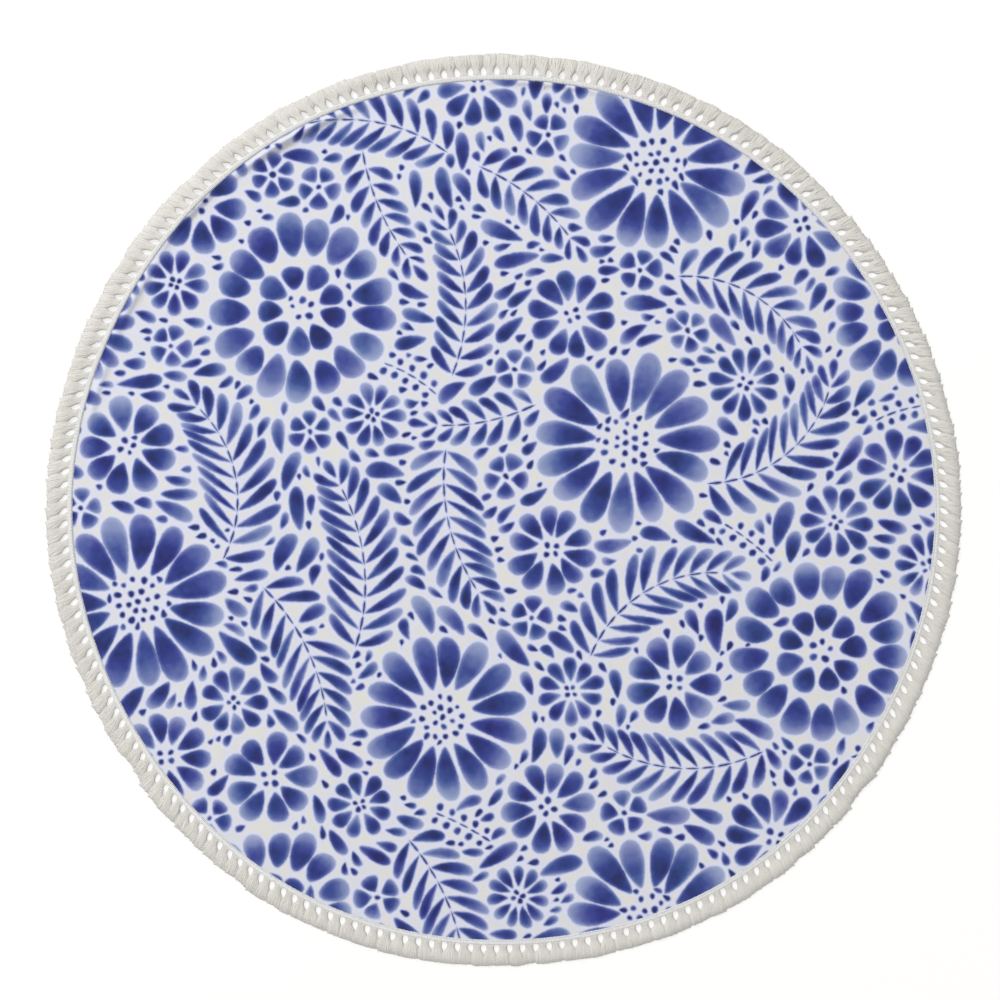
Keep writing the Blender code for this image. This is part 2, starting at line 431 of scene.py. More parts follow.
@dataclass
class Dab:
    """A brush mark: a drop shape, its place on the cloth and how dark it is."""

    x: float
    y: float
    turn: float
    length: float
    width: float
    taper: float  # 0 is an ellipse, and more makes a drop that is broader in front
    tone: float  # how much ink it holds; 1 is the darkest
    fade: float  # how much it runs out pale at the front, or below 0 at the back
    bend: float = 0.0

    @property
    def fatness(self):
        """How much the taper would widen the drop; it is divided out again."""
        return 1 + FATTENING * self.taper ** 2

    def bow(self, along):
        """Sideways shift of the middle line, in half widths."""
        return self.bend * (along ** 2 - BOW_MIDDLE)

    def point(self, along, across):
        """The point at a share of the half length and of the half width; arrays too."""
        p = along * self.length / 2
        q = across * self.width / 2
        return (
            self.x + p * math.cos(self.turn) - q * math.sin(self.turn),
            self.y + p * math.sin(self.turn) + q * math.cos(self.turn),
        )

    def place(self, x, y):
        """Where a point lies along and across the dab, as shares of its half sizes."""
        dx = x - self.x
        dy = y - self.y
        along = 2 * (dx * math.cos(self.turn) + dy * math.sin(self.turn)) / self.length
        across = 2 * (dy * math.cos(self.turn) - dx * math.sin(self.turn)) / self.width
        return along, across

    def distance(self, x, y):
        """Distance out from the dab's edge (m), below 0 inside it; works on arrays."""
        along, across = self.place(x, y)
        squeeze = self.fatness / np.maximum(1 + self.taper * along, LEAST_SWELL)
        aside = (across - self.bow(along)) * squeeze
        reach = np.hypot(along, aside)
        slope = 2 * np.hypot(along / self.length, aside * squeeze / self.width)
        return (reach - 1) * reach / (slope + LEAST_SLOPE)

    def cell(self, margin):
        """A polygon round the dab; margin holds each corner's distance out from the edge."""
        angle = math.tau * (np.arange(len(margin)) + 0.5) / len(margin)
        along = np.cos(angle)
        swell = (1 + self.taper * along) / self.fatness
        across = (1 + 2 * margin / self.width) * np.sin(angle) * swell
        along = (1 + 2 * margin / self.length) * along
        return self.point(along, across + self.bow(along))

    def discs(self):
        """A few discs (x, y, radius) that cover the dab, to test for a clear place."""
        count = max(1, min(MOST_DISCS, round(DISCS_PER_WIDTH * self.length / self.width)))
        ends = max(0.0, 1 - DISC_INSET * self.width / self.length)
        found = []
        for step in range(count):
            along = 0.0 if count == 1 else ends * (2 * step / (count - 1) - 1)
            half = self.width / 2 * math.sqrt(1 - along ** 2) * (1 + self.taper * along)
            found.append((*self.point(along, self.bow(along)), half / self.fatness))
        return found


# %% [markdown]
# ### Motifs
#
# A flower is one or two rings of petals round an eye of dots. A spray is a curve of short
# strokes with a leaf on each side at every step. A sprig is the same with berries. No two
# come out alike, because each size and angle strays a little, from one seeded draw.

# %% Petals and dots
DAB_GAP = 0.0033  # white left between two dabs


def step_from(x, y, angle, reach):
    """The place at this distance from (x, y) in this direction."""
    return x + reach * math.cos(angle), y + reach * math.sin(angle)


def petal_ring(draw, x, y, inner, outer, turn, count, tone, fade):
    """One ring of petals, each a drop that broadens outwards."""
    ring = []
    for index in range(count):
        angle = turn + math.tau * (index + draw.uniform(-0.08, 0.08)) / count
        start = inner * draw.uniform(0.94, 1.06)
        end = outer * draw.uniform(0.92, 1.04)
        widest = start + 0.6 * (end - start)
        ring.append(Dab(
            *step_from(x, y, angle, (start + end) / 2),
            width=math.tau * widest / count - DAB_GAP * draw.uniform(0.8, 1.3),
            turn=angle + draw.uniform(-0.07, 0.07),
            length=end - start,
            taper=min(0.8, 0.9 * (end - start) / (end + start)),
            bend=draw.uniform(-0.25, 0.25),
            tone=tone * draw.uniform(0.86, 1.1),
            fade=fade * draw.uniform(0.7, 1.2),
        ))
    return ring


def dot_ring(draw, x, y, radius, turn, count, size):
    """A ring of small dark dots."""
    ring = []
    for index in range(count):
        angle = turn + math.tau * (index + draw.uniform(-0.12, 0.12)) / count
        place = step_from(x, y, angle, radius * draw.uniform(0.9, 1.1))
        width = size * draw.uniform(0.8, 1.15)
        ring.append(Dab(
            *place,
            turn=angle + draw.uniform(-0.6, 0.6),
            length=width * draw.uniform(1.05, 1.35),
            width=width,
            taper=0.15,
            tone=draw.uniform(0.9, 1.0),
            fade=0.1,
        ))
    return ring


# %% Flowers
def sunflower(draw, x, y, radius, turn):
    """A large flower: a broad eye of dots and one ring of long petals."""
    eye = dot_ring(draw, x, y, 0.0, turn, count=1, size=0.0085)
    eye += dot_ring(draw, x, y, 0.11 * radius, turn, count=6, size=0.0075)
    eye += dot_ring(draw, x, y, 0.23 * radius, turn, count=12, size=0.0075)
    return eye + petal_ring(draw, x, y, 0.34 * radius, radius, turn, count=15, tone=0.86, fade=0.9)


def dahlia(draw, x, y, radius, turn):
    """A large flower: a few dots, short inner petals and longer outer ones."""
    flower = dot_ring(draw, x, y, 0.10 * radius, turn, count=5, size=0.0080)
    middle = 0.50 * radius
    flower += petal_ring(draw, x, y, 0.20 * radius, middle, turn, count=9, tone=0.98, fade=0.45)
    turn += 0.2
    flower += petal_ring(draw, x, y, 0.56 * radius, radius, turn, count=17, tone=0.80, fade=0.9)
    return flower


def daisy(draw, x, y, radius, turn):
    """A ring of long petals round a few dots, pale at their tips or at their roots."""
    count = draw.choice((9, 10, 11))
    fade = draw.choice((0.8, -0.7))
    eye = dot_ring(draw, x, y, 0.14 * radius, turn, count=4, size=0.0085)
    return eye + petal_ring(draw, x, y, 0.30 * radius, radius, turn, count, tone=0.88, fade=fade)


def blossom(draw, x, y, radius, turn):
    """A small flower of five or six round petals."""
    count = draw.choice((5, 5, 6))
    eye = dot_ring(draw, x, y, 0.0, turn, count=1, size=0.008)
    return eye + petal_ring(draw, x, y, 0.24 * radius, radius, turn, count, tone=0.82, fade=0.6)


# %% Sprays and sprigs
STEM_WIDTH = 0.0038
LEAF_STEP = 0.027
LEAF_STAND = 0.0052  # from the stem to where a leaf starts
LEAF_WIDTH = 0.0200  # at most
TIP_LEAF_LENGTH = 0.030
TIP_LEAF_WIDTH = 0.012
TIP_LEAF_TUCK = 0.006  # how far back over the stem it starts
BERRY_STEP = 0.021
BERRY_STAND = 0.0128


def leaf(draw, x, y, angle, reach, width, side):
    """One leaf that starts at (x, y); side is -1 or 1, or 0 for a straight one."""
    return Dab(
        *step_from(x, y, angle, reach / 2), angle, reach, width, taper=0.35, bend=-0.35 * side,
        tone=draw.uniform(0.72, 1.0), fade=draw.choice((0.7, 0.9, -0.5)),
    )


def spray(draw, x, y, length, turn):
    """A curving spray: pairs of leaves along a line of short strokes, and one at its tip."""
    curl = draw.choice((-1, 1)) * draw.uniform(2.2, 5.0)
    steps = int(length / LEAF_STEP)
    longest = length * draw.uniform(0.20, 0.25)
    heading = turn - curl * length / 2
    x, y = step_from(x, y, turn, -0.5 * length)
    found = []
    for step in range(steps + 1):
        share = step / steps
        # Leaves are longest a little before the middle, and short towards the tip.
        swell = 0.55 + 0.75 * math.sin(math.pi * (0.2 + 0.62 * share)) - 0.28 * share
        if step < steps:
            found.append(Dab(
                *step_from(x, y, heading, 0.5 * LEAF_STEP), heading, 0.8 * LEAF_STEP, STEM_WIDTH,
                taper=0.2, tone=0.92, fade=0.1,
            ))
        for side in (-1, 1):
            angle = heading + side * (0.98 - 0.35 * share) * draw.uniform(0.94, 1.06)
            reach = longest * swell * draw.uniform(0.92, 1.08)
            # On the inner side of the curl they are narrower, to stay apart.
            crowding = max(0.0, side * curl) * reach * 0.75
            width = min(LEAF_WIDTH, reach * 0.42) * (1 - crowding) * draw.uniform(0.9, 1.05)
            start = step_from(x, y, angle, LEAF_STAND)
            found.append(leaf(draw, *start, angle, reach, width, side))
        x, y = step_from(x, y, heading, LEAF_STEP)
        heading += curl * LEAF_STEP
    tip = step_from(x, y, heading, -TIP_LEAF_TUCK)
    found.append(leaf(draw, *tip, heading, TIP_LEAF_LENGTH, TIP_LEAF_WIDTH, side=0))
    return found


def sprig(draw, x, y, length, turn):
    """Berries in pairs along a short curve."""
    curl = draw.choice((-1, 1)) * draw.uniform(2.0, 4.5)
    found = []
    for _ in range(int(length / BERRY_STEP)):
        found.append(Dab(x, y, turn, 0.7 * BERRY_STEP, STEM_WIDTH, taper=0.1, tone=0.92, fade=0.0))
        for side in (-1, 1):
            angle = turn + 1.15 * side
            size = draw.uniform(0.009, 0.0135)
            found.append(Dab(
                *step_from(x, y, angle, BERRY_STAND), angle, 1.15 * size, size,
                taper=0.15, tone=draw.uniform(0.8, 1.0), fade=0.3,
            ))
        x, y = step_from(x, y, turn, BERRY_STEP)
        turn += curl * BERRY_STEP
    return found


# %% [markdown]
# ### Where the motifs go
#
# The large flowers are listed one by one, off centre and some cut by the rim, as on cloth
# cut from a wide print. The rest are scattered: a motif is tried at a drawn place, the dabs
# that would touch others are left off, and it stays if nearly all of it fits. Loose leaves
# and dots of falling size then fill what is left, along one slow swirl.

# %% A layout that knows what is taken
LARGE_DAB = 0.02  # a stroke longer than this is painted as a leaf, a shorter one as a dot
MOST_GROWTH = 0.18  # as a share of a dab's width, on each side
MOTIF_TRIES = 3500
MOTIF_ROOM = 0.3  # clear radius where a motif is tried, as a share of its size
MOTIF_GAP = 0.8 * DAB_GAP  # between its dabs and the others


def swirl(x, y):
    """Direction of the loose strokes at a place, in radians."""
    return 2.2 * math.sin(4.1 * x + 1.3) + 1.9 * math.cos(3.7 * y - 0.6)


class Layout:
    """The dabs that are on the cloth so far, with discs to test new ones against."""

    def __init__(self, seed):
        self.draw = random.Random(seed)
        self.dabs = []
        self.taken = np.empty((0, 3))

    def clearance(self, x, y):
        """Distance from a point to the nearest dab."""
        away = np.hypot(self.taken[:, 0] - x, self.taken[:, 1] - y) - self.taken[:, 2]
        return float(away.min()) if len(away) else 1.0

    def fits(self, dab, gap):
        """Whether every part of the dab is this far from the others."""
        return all(self.clearance(x, y) > radius + gap for x, y, radius in dab.discs())

    def add(self, dabs):
        """Take the dabs that have ink on the cloth."""
        kept = [dab for dab in dabs if math.hypot(dab.x, dab.y) < CLOTH_RADIUS + dab.length / 2]
        self.dabs += kept
        if kept:
            self.taken = np.vstack([self.taken] + [dab.discs() for dab in kept])

    def any_place(self):
        """A drawn point on the cloth, even over its area."""
        reach = math.sqrt(self.draw.random()) * CLOTH_RADIUS
        return step_from(0, 0, self.draw.uniform(0, math.tau), reach)

    def scatter(self, motif, size, count, share_needed):
        """Put up to count motifs of this size where nearly all of their dabs fit."""
        made = 0
        for _ in range(MOTIF_TRIES):
            if made == count:
                break
            x, y = self.any_place()
            if self.clearance(x, y) < MOTIF_ROOM * size:
                continue
            turn = self.draw.uniform(0, math.tau)
            dabs = motif(self.draw, x, y, size * self.draw.uniform(0.92, 1.08), turn)
            kept = [dab for dab in dabs if self.fits(dab, MOTIF_GAP)]
            if len(kept) >= share_needed * len(dabs):
                self.add(kept)
                made += 1
        return made

    def fill(self, length, width, tries):
        """Put loose strokes of this size wherever they fit, along a slow swirl."""
        draw = self.draw
        before = len(self.dabs)
        is_leaf = length > LARGE_DAB
        for _ in range(tries):
            x, y = self.any_place()
            if self.clearance(x, y) < width / 2 + DAB_GAP:
                continue
            stroke = Dab(
                x, y,
                turn=swirl(x, y) + draw.uniform(-0.3, 0.3),
                length=length * draw.uniform(0.9, 1.1),
                width=width * draw.uniform(0.88, 1.1),
                taper=draw.uniform(0.2, 0.5),
                bend=draw.uniform(-0.35, 0.35) if is_leaf else 0.0,
                tone=draw.uniform(0.74, 1.0),
                fade=draw.choice((0.9, 0.7, -0.6)) if is_leaf else 0.1,
            )
            if self.fits(stroke, DAB_GAP):
                self.add([stroke])
        return len(self.dabs) - before

    def grow(self):
        """Let every dab swell until it nearly meets its nearest neighbour."""
        owner = np.repeat(np.arange(len(self.dabs)), [len(dab.discs()) for dab in self.dabs])
        for number, dab in enumerate(self.dabs):
            own = self.taken[owner == number]
            others = self.taken[owner != number]
            apart = np.hypot(own[:, :1] - others[:, 0], own[:, 1:2] - others[:, 1])
            room = (apart - own[:, 2:] - others[:, 2]).min() - DAB_GAP
            swell = min(room, MOST_GROWTH * dab.width)
            if swell > 0:
                dab.length += 2 * swell
                dab.width += 2 * swell
                self.taken[owner == number, 2] += swell


# %% The layout of this towel
# Columns: flower, x, y, radius (m).
LARGE_FLOWERS = (
    (sunflower, 0.20, 0.11, 0.150),
    (dahlia, -0.33, 0.33, 0.155),
    (sunflower, -0.10, -0.34, 0.140),
    (dahlia, 0.52, -0.23, 0.150),
    (sunflower, 0.25, 0.57, 0.150),
    (sunflower, -0.60, -0.15, 0.150),
    (dahlia, -0.38, -0.66, 0.140),
    (sunflower, 0.24, -0.67, 0.145),
    (dahlia, 0.67, 0.33, 0.135),
    (sunflower, -0.70, 0.30, 0.100),
)
# Columns: motif, size (m), how many at most, share of its dabs that has to fit.
SCATTERED = (
    (spray, 0.27, 11, 0.92),
    (daisy, 0.078, 12, 0.97),
    (spray, 0.19, 12, 0.90),
    (daisy, 0.058, 14, 0.95),
    (blossom, 0.038, 34, 0.95),
    (sprig, 0.10, 18, 0.85),
)
# Columns: length, width (m), tries.
LOOSE_STROKES = (
    (0.070, 0.026, 4000),
    (0.056, 0.022, 5000),
    (0.046, 0.019, 6000),
    (0.037, 0.0160, 7000),
    (0.029, 0.0135, 8000),
    (0.022, 0.0110, 9000),
    (0.0155, 0.0092, 9000),
    (0.0105, 0.0078, 9000),
)
PALE_SHARE = 0.16  # of the dabs, laid down with a thinner ink
PALE_TONE = 0.66
SMALL_WIDTH = 0.012  # under this width a dab is a drop of ink, which dries darker
SMALL_TONE = 1.28
PRINT_SEED = 11


def lay_out_print():
    """All the dabs of the print: large flowers, scattered motifs and loose strokes."""
    layout = Layout(PRINT_SEED)
    for flower, x, y, radius in LARGE_FLOWERS:
        layout.add(flower(layout.draw, x, y, radius, layout.draw.uniform(0, 1)))
    for motif, size, count, share_needed in SCATTERED:
        made = layout.scatter(motif, size, count, share_needed)
        print(made, motif.__name__, "motifs of", size, "m")
    for length, width, tries in LOOSE_STROKES:
        print(layout.fill(length, width, tries), "loose strokes of", length, "m")
    layout.grow()
    for dab in layout.dabs:
        if layout.draw.random() < PALE_SHARE:
            dab.tone *= PALE_TONE
        if dab.width < SMALL_WIDTH:
            dab.tone *= SMALL_TONE
    return layout.dabs


dabs = lay_out_print()
ink_area = sum(math.pi / 4 * dab.length * dab.width for dab in dabs)
print(len(dabs), "dabs, about", round(ink_area, 2), "square metres of ink")

# %% [markdown]
# ## The cloth
#
# On the real towel the face is sheared towelling, the hem is turned under, and the whole
# lies flat but for the puckers. The face could be a plain grid with the print in its
# colour, but then each grid point blurs the ink. Instead it is cut by a Delaunay
# triangulation along a cell round every dab, and each triangle takes the dab whose edge is
# nearest. Its corners store where they lie in that dab's own directions, so the shader can
# draw the drop's edge sharp at any distance.

# %% Relief of the cloth
RIPPLE_HEIGHT = 0.00022
RIPPLES_PER_METRE = 11.0


def face_height(x, y):
    """Height of the printed face: the cloth, its puckers and the unevenness of its pile."""
    places = np.stack((x, y, np.zeros(len(x))), -1) * RIPPLES_PER_METRE
    ripple = RIPPLE_HEIGHT * np.array([noise.noise(Vector(place)) for place in places])
    return CLOTH_THICKNESS + pucker_rise(x, y) + ripple


# %% Points and triangles
EDGE_POINTS = 288
FACE_GRID = 0.0095
PUCKER_GRID = 0.0027
EDGE_CLEARANCE = 0.004  # from the edge to the first loose point
PUCKER_EDGE_CLEARANCE = 0.002
ROW_STEP = 0.866  # between staggered rows, as a share of the spacing along them
MERGE_GAP = 0.0003  # points and sides nearer than this are made one


def edge_loop(inset=0.0, angles=np.arange(EDGE_POINTS) * math.tau / EDGE_POINTS):
    """Points round the cloth's edge, or a little inside it."""
    reach = CLOTH_RADIUS + rim_wave(angles) - inset
    return np.stack((MIDDLE[0] + reach * np.cos(angles), MIDDLE[1] + reach * np.sin(angles)), -1)


def grid_points(spacing, inset, keep=None):
    """A staggered grid over the disc, clear of its edge."""
    limit = CLOTH_RADIUS
    row_step = ROW_STEP * spacing
    rows = np.arange(-int(limit / row_step), int(limit / row_step) + 1)[:, None]
    steps = np.arange(-int(limit / spacing) - 1, int(limit / spacing) + 2)
    xs = spacing * (steps + 0.5 * (rows % 2))
    ys = np.broadcast_to(row_step * rows, xs.shape)
    kept = angle_and_inset(xs, ys)[1] > inset
    if keep is not None:
        kept &= keep(xs, ys)
    return np.stack((xs[kept], ys[kept]), -1)


def triangulate(outline, cells, loose_points):
    """Points and triangles inside the outline, cut along the edges of the cells."""
    points = [Vector(point) for point in outline]
    faces = [list(range(len(outline)))]
    for cell in cells:
        faces.append(list(range(len(points), len(points) + len(cell))))
        points += [Vector(point) for point in cell]
    points += [Vector(point) for point in loose_points]
    found = delaunay_2d_cdt(points, [], faces, 1, MERGE_GAP)
    coords, triangles, sources = found[0], found[2], found[5]
    inside = [triangles[number] for number, source in enumerate(sources) if 0 in source]
    used, corners = np.unique(inside, return_inverse=True)
    return np.array([coords[number] for number in used]), corners.reshape(-1, 3)


# %% Cells round the dabs
CELL_MARGIN = 0.0032
CORNERS_LARGE = 14  # of the cell round a large dab
CORNERS_SMALL = 10
DRAW_IN_ROUNDS = 3
DEEPEST_CUT = 0.3  # how far a corner may be drawn in, as a share of the dab's width
POINT_GAP = 0.0012  # least distance from a loose point to a cell's corner


def is_puckered(x, y):
    """Where the cloth stands off the floor enough to show."""
    return pucker_rise(x, y) > LEAST_LIFT


def clear_cell(number):
    """A dab's cell, drawn in to the line half way to a neighbour where one is near."""
    dab = dabs[number]
    apart = np.hypot(dab_middles[:, 0] - dab.x, dab_middles[:, 1] - dab.y)
    near = np.flatnonzero(apart < dab_reaches + dab_reaches[number] + 2 * CELL_MARGIN)
    others = [dabs[other] for other in near if other != number]
    margin = np.full(CORNERS_LARGE if dab.length > LARGE_DAB else CORNERS_SMALL, CELL_MARGIN)
    for _ in range(DRAW_IN_ROUNDS if others else 0):
        xs, ys = dab.cell(margin)
        nearest = np.min([other.distance(xs, ys) for other in others], axis=0)
        overlap = np.maximum(dab.distance(xs, ys) - nearest, 0)
        margin = np.maximum(margin - overlap / 2, -DEEPEST_CUT * dab.width)
    return np.stack(dab.cell(margin), -1)


def follow_puckers(cell):
    """The cell with more points along its sides where the cloth is puckered."""
    found = []
    for start, end, puckered in zip(cell, np.roll(cell, -1, axis=0), is_puckered(*cell.T)):
        count = math.ceil(math.dist(start, end) / PUCKER_GRID) if puckered else 1
        found.append(start + np.arange(count)[:, None] / count * (end - start))
    return np.concatenate(found)


def clear_of(points, others, gap):
    """The points that are at least this far from all the others."""
    tree = KDTree(len(others))
    for number, place in enumerate(others):
        tree.insert((*place, 0.0), number)
    tree.balance()
    return points[[tree.find((*place, 0.0))[2] > gap for place in points]]


# %% Cut the face along the cells
MARK_REACH = 0.012  # further from every dab than this, a triangle has no marks
REACH_SHARE = 0.55  # of a dab's larger size, from its middle to past its furthest point


def cut_face():
    """The printed face as points and triangles."""
    cells = [follow_puckers(clear_cell(number)) for number in range(len(dabs))]
    corners = np.concatenate(cells)
    flat_grid = grid_points(FACE_GRID, EDGE_CLEARANCE)
    pucker_grid = grid_points(PUCKER_GRID, PUCKER_EDGE_CLEARANCE, keep=is_puckered)
    loose = [clear_of(grid, corners, POINT_GAP) for grid in (flat_grid, pucker_grid)]
    return triangulate(edge_loop(), cells, np.concatenate(loose))


def nearest_dabs(xs, ys):
    """The number of the dab whose edge is nearest to each place, or -1 where none is."""
    order = np.argsort(xs)
    xs, ys = xs[order], ys[order]
    least = np.full(len(xs), MARK_REACH)
    owner = np.full(len(xs), -1)
    for number, dab in enumerate(dabs):
        reach = dab_reaches[number] + MARK_REACH
        first, last = np.searchsorted(xs, (dab.x - reach, dab.x + reach))
        near = first + np.flatnonzero(abs(ys[first:last] - dab.y) < reach)
        away = dab.distance(xs[near], ys[near])
        closer = away < least[near]
        least[near[closer]] = away[closer]
        owner[near[closer]] = number
    found = np.empty(len(xs), int)
    found[order] = owner
    return found


dab_middles = np.array([(dab.x, dab.y) for dab in dabs])
dab_reaches = np.array([REACH_SHARE * max(dab.length, dab.width) for dab in dabs])
face_points, face_triangles = cut_face()
face_dabs = nearest_dabs(*face_points[face_triangles].mean(axis=1).T)
print(len(face_points), "points,", len(face_triangles), "triangles in the face")

# %% [markdown]
# ### The hem and the back
#
# On the real towel the raw edge is turned under twice and sewn down. From above that is
# hidden by the heading. From behind it is a flat border with a line of stitches pressed
# into it, standing a little proud of the looped pile. So the back is built of rings that
# follow this profile from the edge inwards, and a coarse sheet fills the middle. The edge
# itself is rounded over by the same rings.

# %% Profile of the hem
# Columns: distance in from the edge, height above the floor (m), from the face down
# round the edge and along the back.
HEM_PROFILE = (
    (0.0003, 0.00205),
    (0.0000, 0.00150),
    (0.0000, 0.00075),
    (0.0004, 0.00020),
    (0.0012, 0.00000),
    (0.0056, 0.00000),
    (0.0064, 0.00055),
    (0.0076, 0.00055),
    (0.0084, 0.00000),
    (0.0112, 0.00000),
    (0.0140, 0.00000),
    (0.0146, 0.00060),
)
SEAM_INSET = 0.0070  # the line of stitches, in the groove of the profile
BACK_GRID = 0.024
BACK_PUCKER_GRID = 0.0032
BACK_CLEARANCE = 0.008  # from the hem to the first loose point
BACK_PUCKER_CLEARANCE = 0.001
HEM_WIDTH, PILE_LIFT = HEM_PROFILE[-1]  # where the pile of the back starts, and how high


def back_points(places, height):
    """Points of the back: at this height, and higher where a pucker lifts it."""
    xs, ys = places.T
    return np.stack((xs, ys, height + pucker_rise(xs, ys)), -1)


# %% [markdown]
# ### The mesh from its parts
#
# Blender builds a mesh fastest from whole arrays: points, then the points of every corner,
# then the size of every face. `Pieces` gathers such arrays from many small makers, along
# with a few numbers for each corner, and turns them into one object at the end.

# %% Gather arrays into one object
class Pieces:
    """Points, faces and the marks of their corners, on the way to one mesh."""

    def __init__(self):
        self.points = []
        self.corners = []
        self.sizes = []
        self.slots = []
        self.marks = []
        self.count = 0

    def add_points(self, points):
        """Add points and return the number of the first."""
        first = self.count
        self.points.append(np.asarray(points, float).reshape(-1, 3))
        self.count += len(self.points[-1])
        return first

    def add_faces(self, faces, marks, slot=0):
        """Add faces of one size; marks has as many rows of numbers as the faces' corners."""
        faces = np.asarray(faces, np.int32)
        self.corners.append(faces.ravel())
        self.sizes.append(np.full(len(faces), faces.shape[1], np.int32))
        self.slots.append(np.full(len(faces), slot, np.int32))
        self.marks.append(np.asarray(marks, np.float32).reshape(faces.size, -1))

    def make(self, name, materials, mark_names):
        """Build the object; every name in mark_names takes three of the marks' numbers."""
        points = np.concatenate(self.points)
        corners = np.concatenate(self.corners)
        sizes = np.concatenate(self.sizes)
        mesh = bpy.data.meshes.new(name)
        mesh.vertices.add(len(points))
        mesh.vertices.foreach_set("co", points.astype(np.float32).ravel())
        mesh.loops.add(len(corners))
        mesh.loops.foreach_set("vertex_index", corners)
        mesh.polygons.add(len(sizes))
        starts = np.concatenate(([0], np.cumsum(sizes)[:-1])).astype(np.int32)
        mesh.polygons.foreach_set("loop_start", starts)
        mesh.polygons.foreach_set("material_index", np.concatenate(self.slots))
        mesh.polygons.foreach_set("use_smooth", np.ones(len(sizes), bool))
        mesh.update(calc_edges=True)
        marks = np.concatenate(self.marks)
        for index, mark_name in enumerate(mark_names):
            attribute = mesh.attributes.new(mark_name, "FLOAT_VECTOR", "CORNER")
            numbers = np.ascontiguousarray(marks[:, 3 * index:3 * index + 3])
            attribute.data.foreach_set("vector", numbers.ravel())
        for material in materials:
            mesh.materials.append(material)
        made = bpy.data.objects.new(name, mesh)
        bpy.context.scene.collection.objects.link(made)
        triangles = int((sizes - 2).sum())
        print(name, len(points), "points,", triangles, "triangles")
        return made


# %% Marks of the face's corners
MARK_NAMES = ("dab_place", "dab_size", "dab_ink")
FAR_OFF = (4.0, 4.0, 0.0, 0.01, 0.01, 0.0, 0.0, 0.0, 0.0)  # a corner with no dab near
FACE_SEED = 5


def dab_marks(dab, seed, x, y):
    """The nine numbers that tell the shader where (x, y) lies in its dab."""
    size = (dab.length / 2, dab.width / 2, dab.taper)
    return (*dab.place(x, y), seed, *size, dab.tone, dab.fade, dab.bend)


def face_marks():
    """Marks for every corner of every triangle of the face."""
    draw = random.Random(FACE_SEED)
    seeds = [draw.random() for _ in dabs]
    marks = []
    for triangle, number in zip(face_triangles, face_dabs):
        for corner in triangle:
            if number < 0:
                marks.append(FAR_OFF)
            else:
                marks.append(dab_marks(dabs[number], seeds[number], *face_points[corner]))
    return marks


# %% Put the cloth together
FACE_SLOT = 0
BACK_SLOT = 1


def ring_faces(ring, next_ring):
    """Quads between two rings, each an array of as many point numbers."""
    return np.stack((ring, np.roll(ring, -1), np.roll(next_ring, -1), next_ring), -1)


def face_outline():
    """The points on the face's edge, which are on the sides that only one triangle has."""
    sides = np.sort(face_triangles[:, [[0, 1], [1, 2], [2, 0]]].reshape(-1, 2))
    sides, uses = np.unique(sides, axis=0, return_counts=True)
    rim = np.unique(sides[uses == 1])
    away = face_points[rim] - MIDDLE
    angles = np.arctan2(away[:, 1], away[:, 0])
    order = np.argsort(angles)
    return rim[order], angles[order]


def build_cloth(materials):
    """The printed disc: its face, its rounded edge with the hem, and its back."""
    cloth = Pieces()
    xs, ys = face_points.T
    cloth.add_points(np.stack((xs, ys, face_height(xs, ys)), -1))
    cloth.add_faces(face_triangles, face_marks(), FACE_SLOT)

    def add_back(faces):
        cloth.add_faces(faces, np.tile(FAR_OFF, (faces.size, 1)), BACK_SLOT)

    ring, angles = face_outline()
    print(len(ring), "points round the edge")
    for inset, height in HEM_PROFILE:
        first = cloth.add_points(back_points(edge_loop(inset, angles), height))
        next_ring = first + np.arange(len(ring))
        add_back(ring_faces(next_ring, ring))
        ring = next_ring
    pile_grid = grid_points(BACK_GRID, HEM_WIDTH + BACK_CLEARANCE)
    pucker_grid = grid_points(BACK_PUCKER_GRID, HEM_WIDTH + BACK_PUCKER_CLEARANCE, keep=is_puckered)
    loose = np.concatenate((pile_grid, pucker_grid))
    points, triangles = triangulate(edge_loop(HEM_WIDTH, angles), [], loose)
    cloth.add_points(back_points(points, PILE_LIFT)[len(ring):])
    add_back(ring[0] + triangles[:, ::-1])
    return cloth.make("printed_cloth", materials, MARK_NAMES)


# %% [markdown]
# ### The finish of the face
#
# Sheared towelling is matt and a little furry, and the ink sinks into it. Each dab is dark
# in its middle and along its back, runs out pale at one end, and has a soft, slightly
# wandering edge with a thin cool halo where the dye was kept off. All of it follows from
# one number, the distance from the dab's edge, which the drop's formula gives.

# %% Inks and grounds
# Columns: share of ink, screen colour.
INK_STOPS = (
    (0.00, (178, 189, 217)),
    (0.20, (142, 153, 196)),
    (0.40, (95, 109, 170)),
    (0.60, (60, 74, 148)),
    (0.80, (45, 58, 130)),
    (1.00, (36, 43, 102)),
)
GROUND_WARM = (228, 226, 220)
GROUND_COOL = (223, 223, 230)
HALO = (220, 225, 251)
EDGE_SOFTNESS = 0.0024  # from no ink to full ink is twice this (m)
EDGE_WANDER = 0.0018
EDGE_FRAY = 0.0009
EDGE_BITE = 0.0010  # how much of a dab's edge is lost where the brush ran dry
HALO_REACH = 0.0070
HALO_START = 0.0006
CORE_START = 0.0005
CORE_DEPTH = -0.0085  # this far inside its edge, a dab is at its darkest
RUN_OUT = 0.82  # how much paler a dab may get towards one end
HEEL_SHADE = 0.38  # how much paler its other end is
LEAN_SHADE = 0.42  # and one of its sides
CLOUD = 0.62  # unevenness of the wash
EDGE_INK = 0.60  # share of the ink that lies at a dab's edge
CORE_INK = 0.48  # and what its core adds
HALO_STRENGTH = 0.85
DYE_STRAY = 0.024  # unevenness of the ink's hue over the cloth
DAB_STRAY = 0.008  # and from dab to dab
PILE_SHADE = 0.16  # light and dark of single tips of the pile
PILE_DEPTH = 0.0009
TOWEL_TOUCH = (0.95, 0.12, 0.6, 0.15)  # roughness, sheen, sheen's roughness, gloss

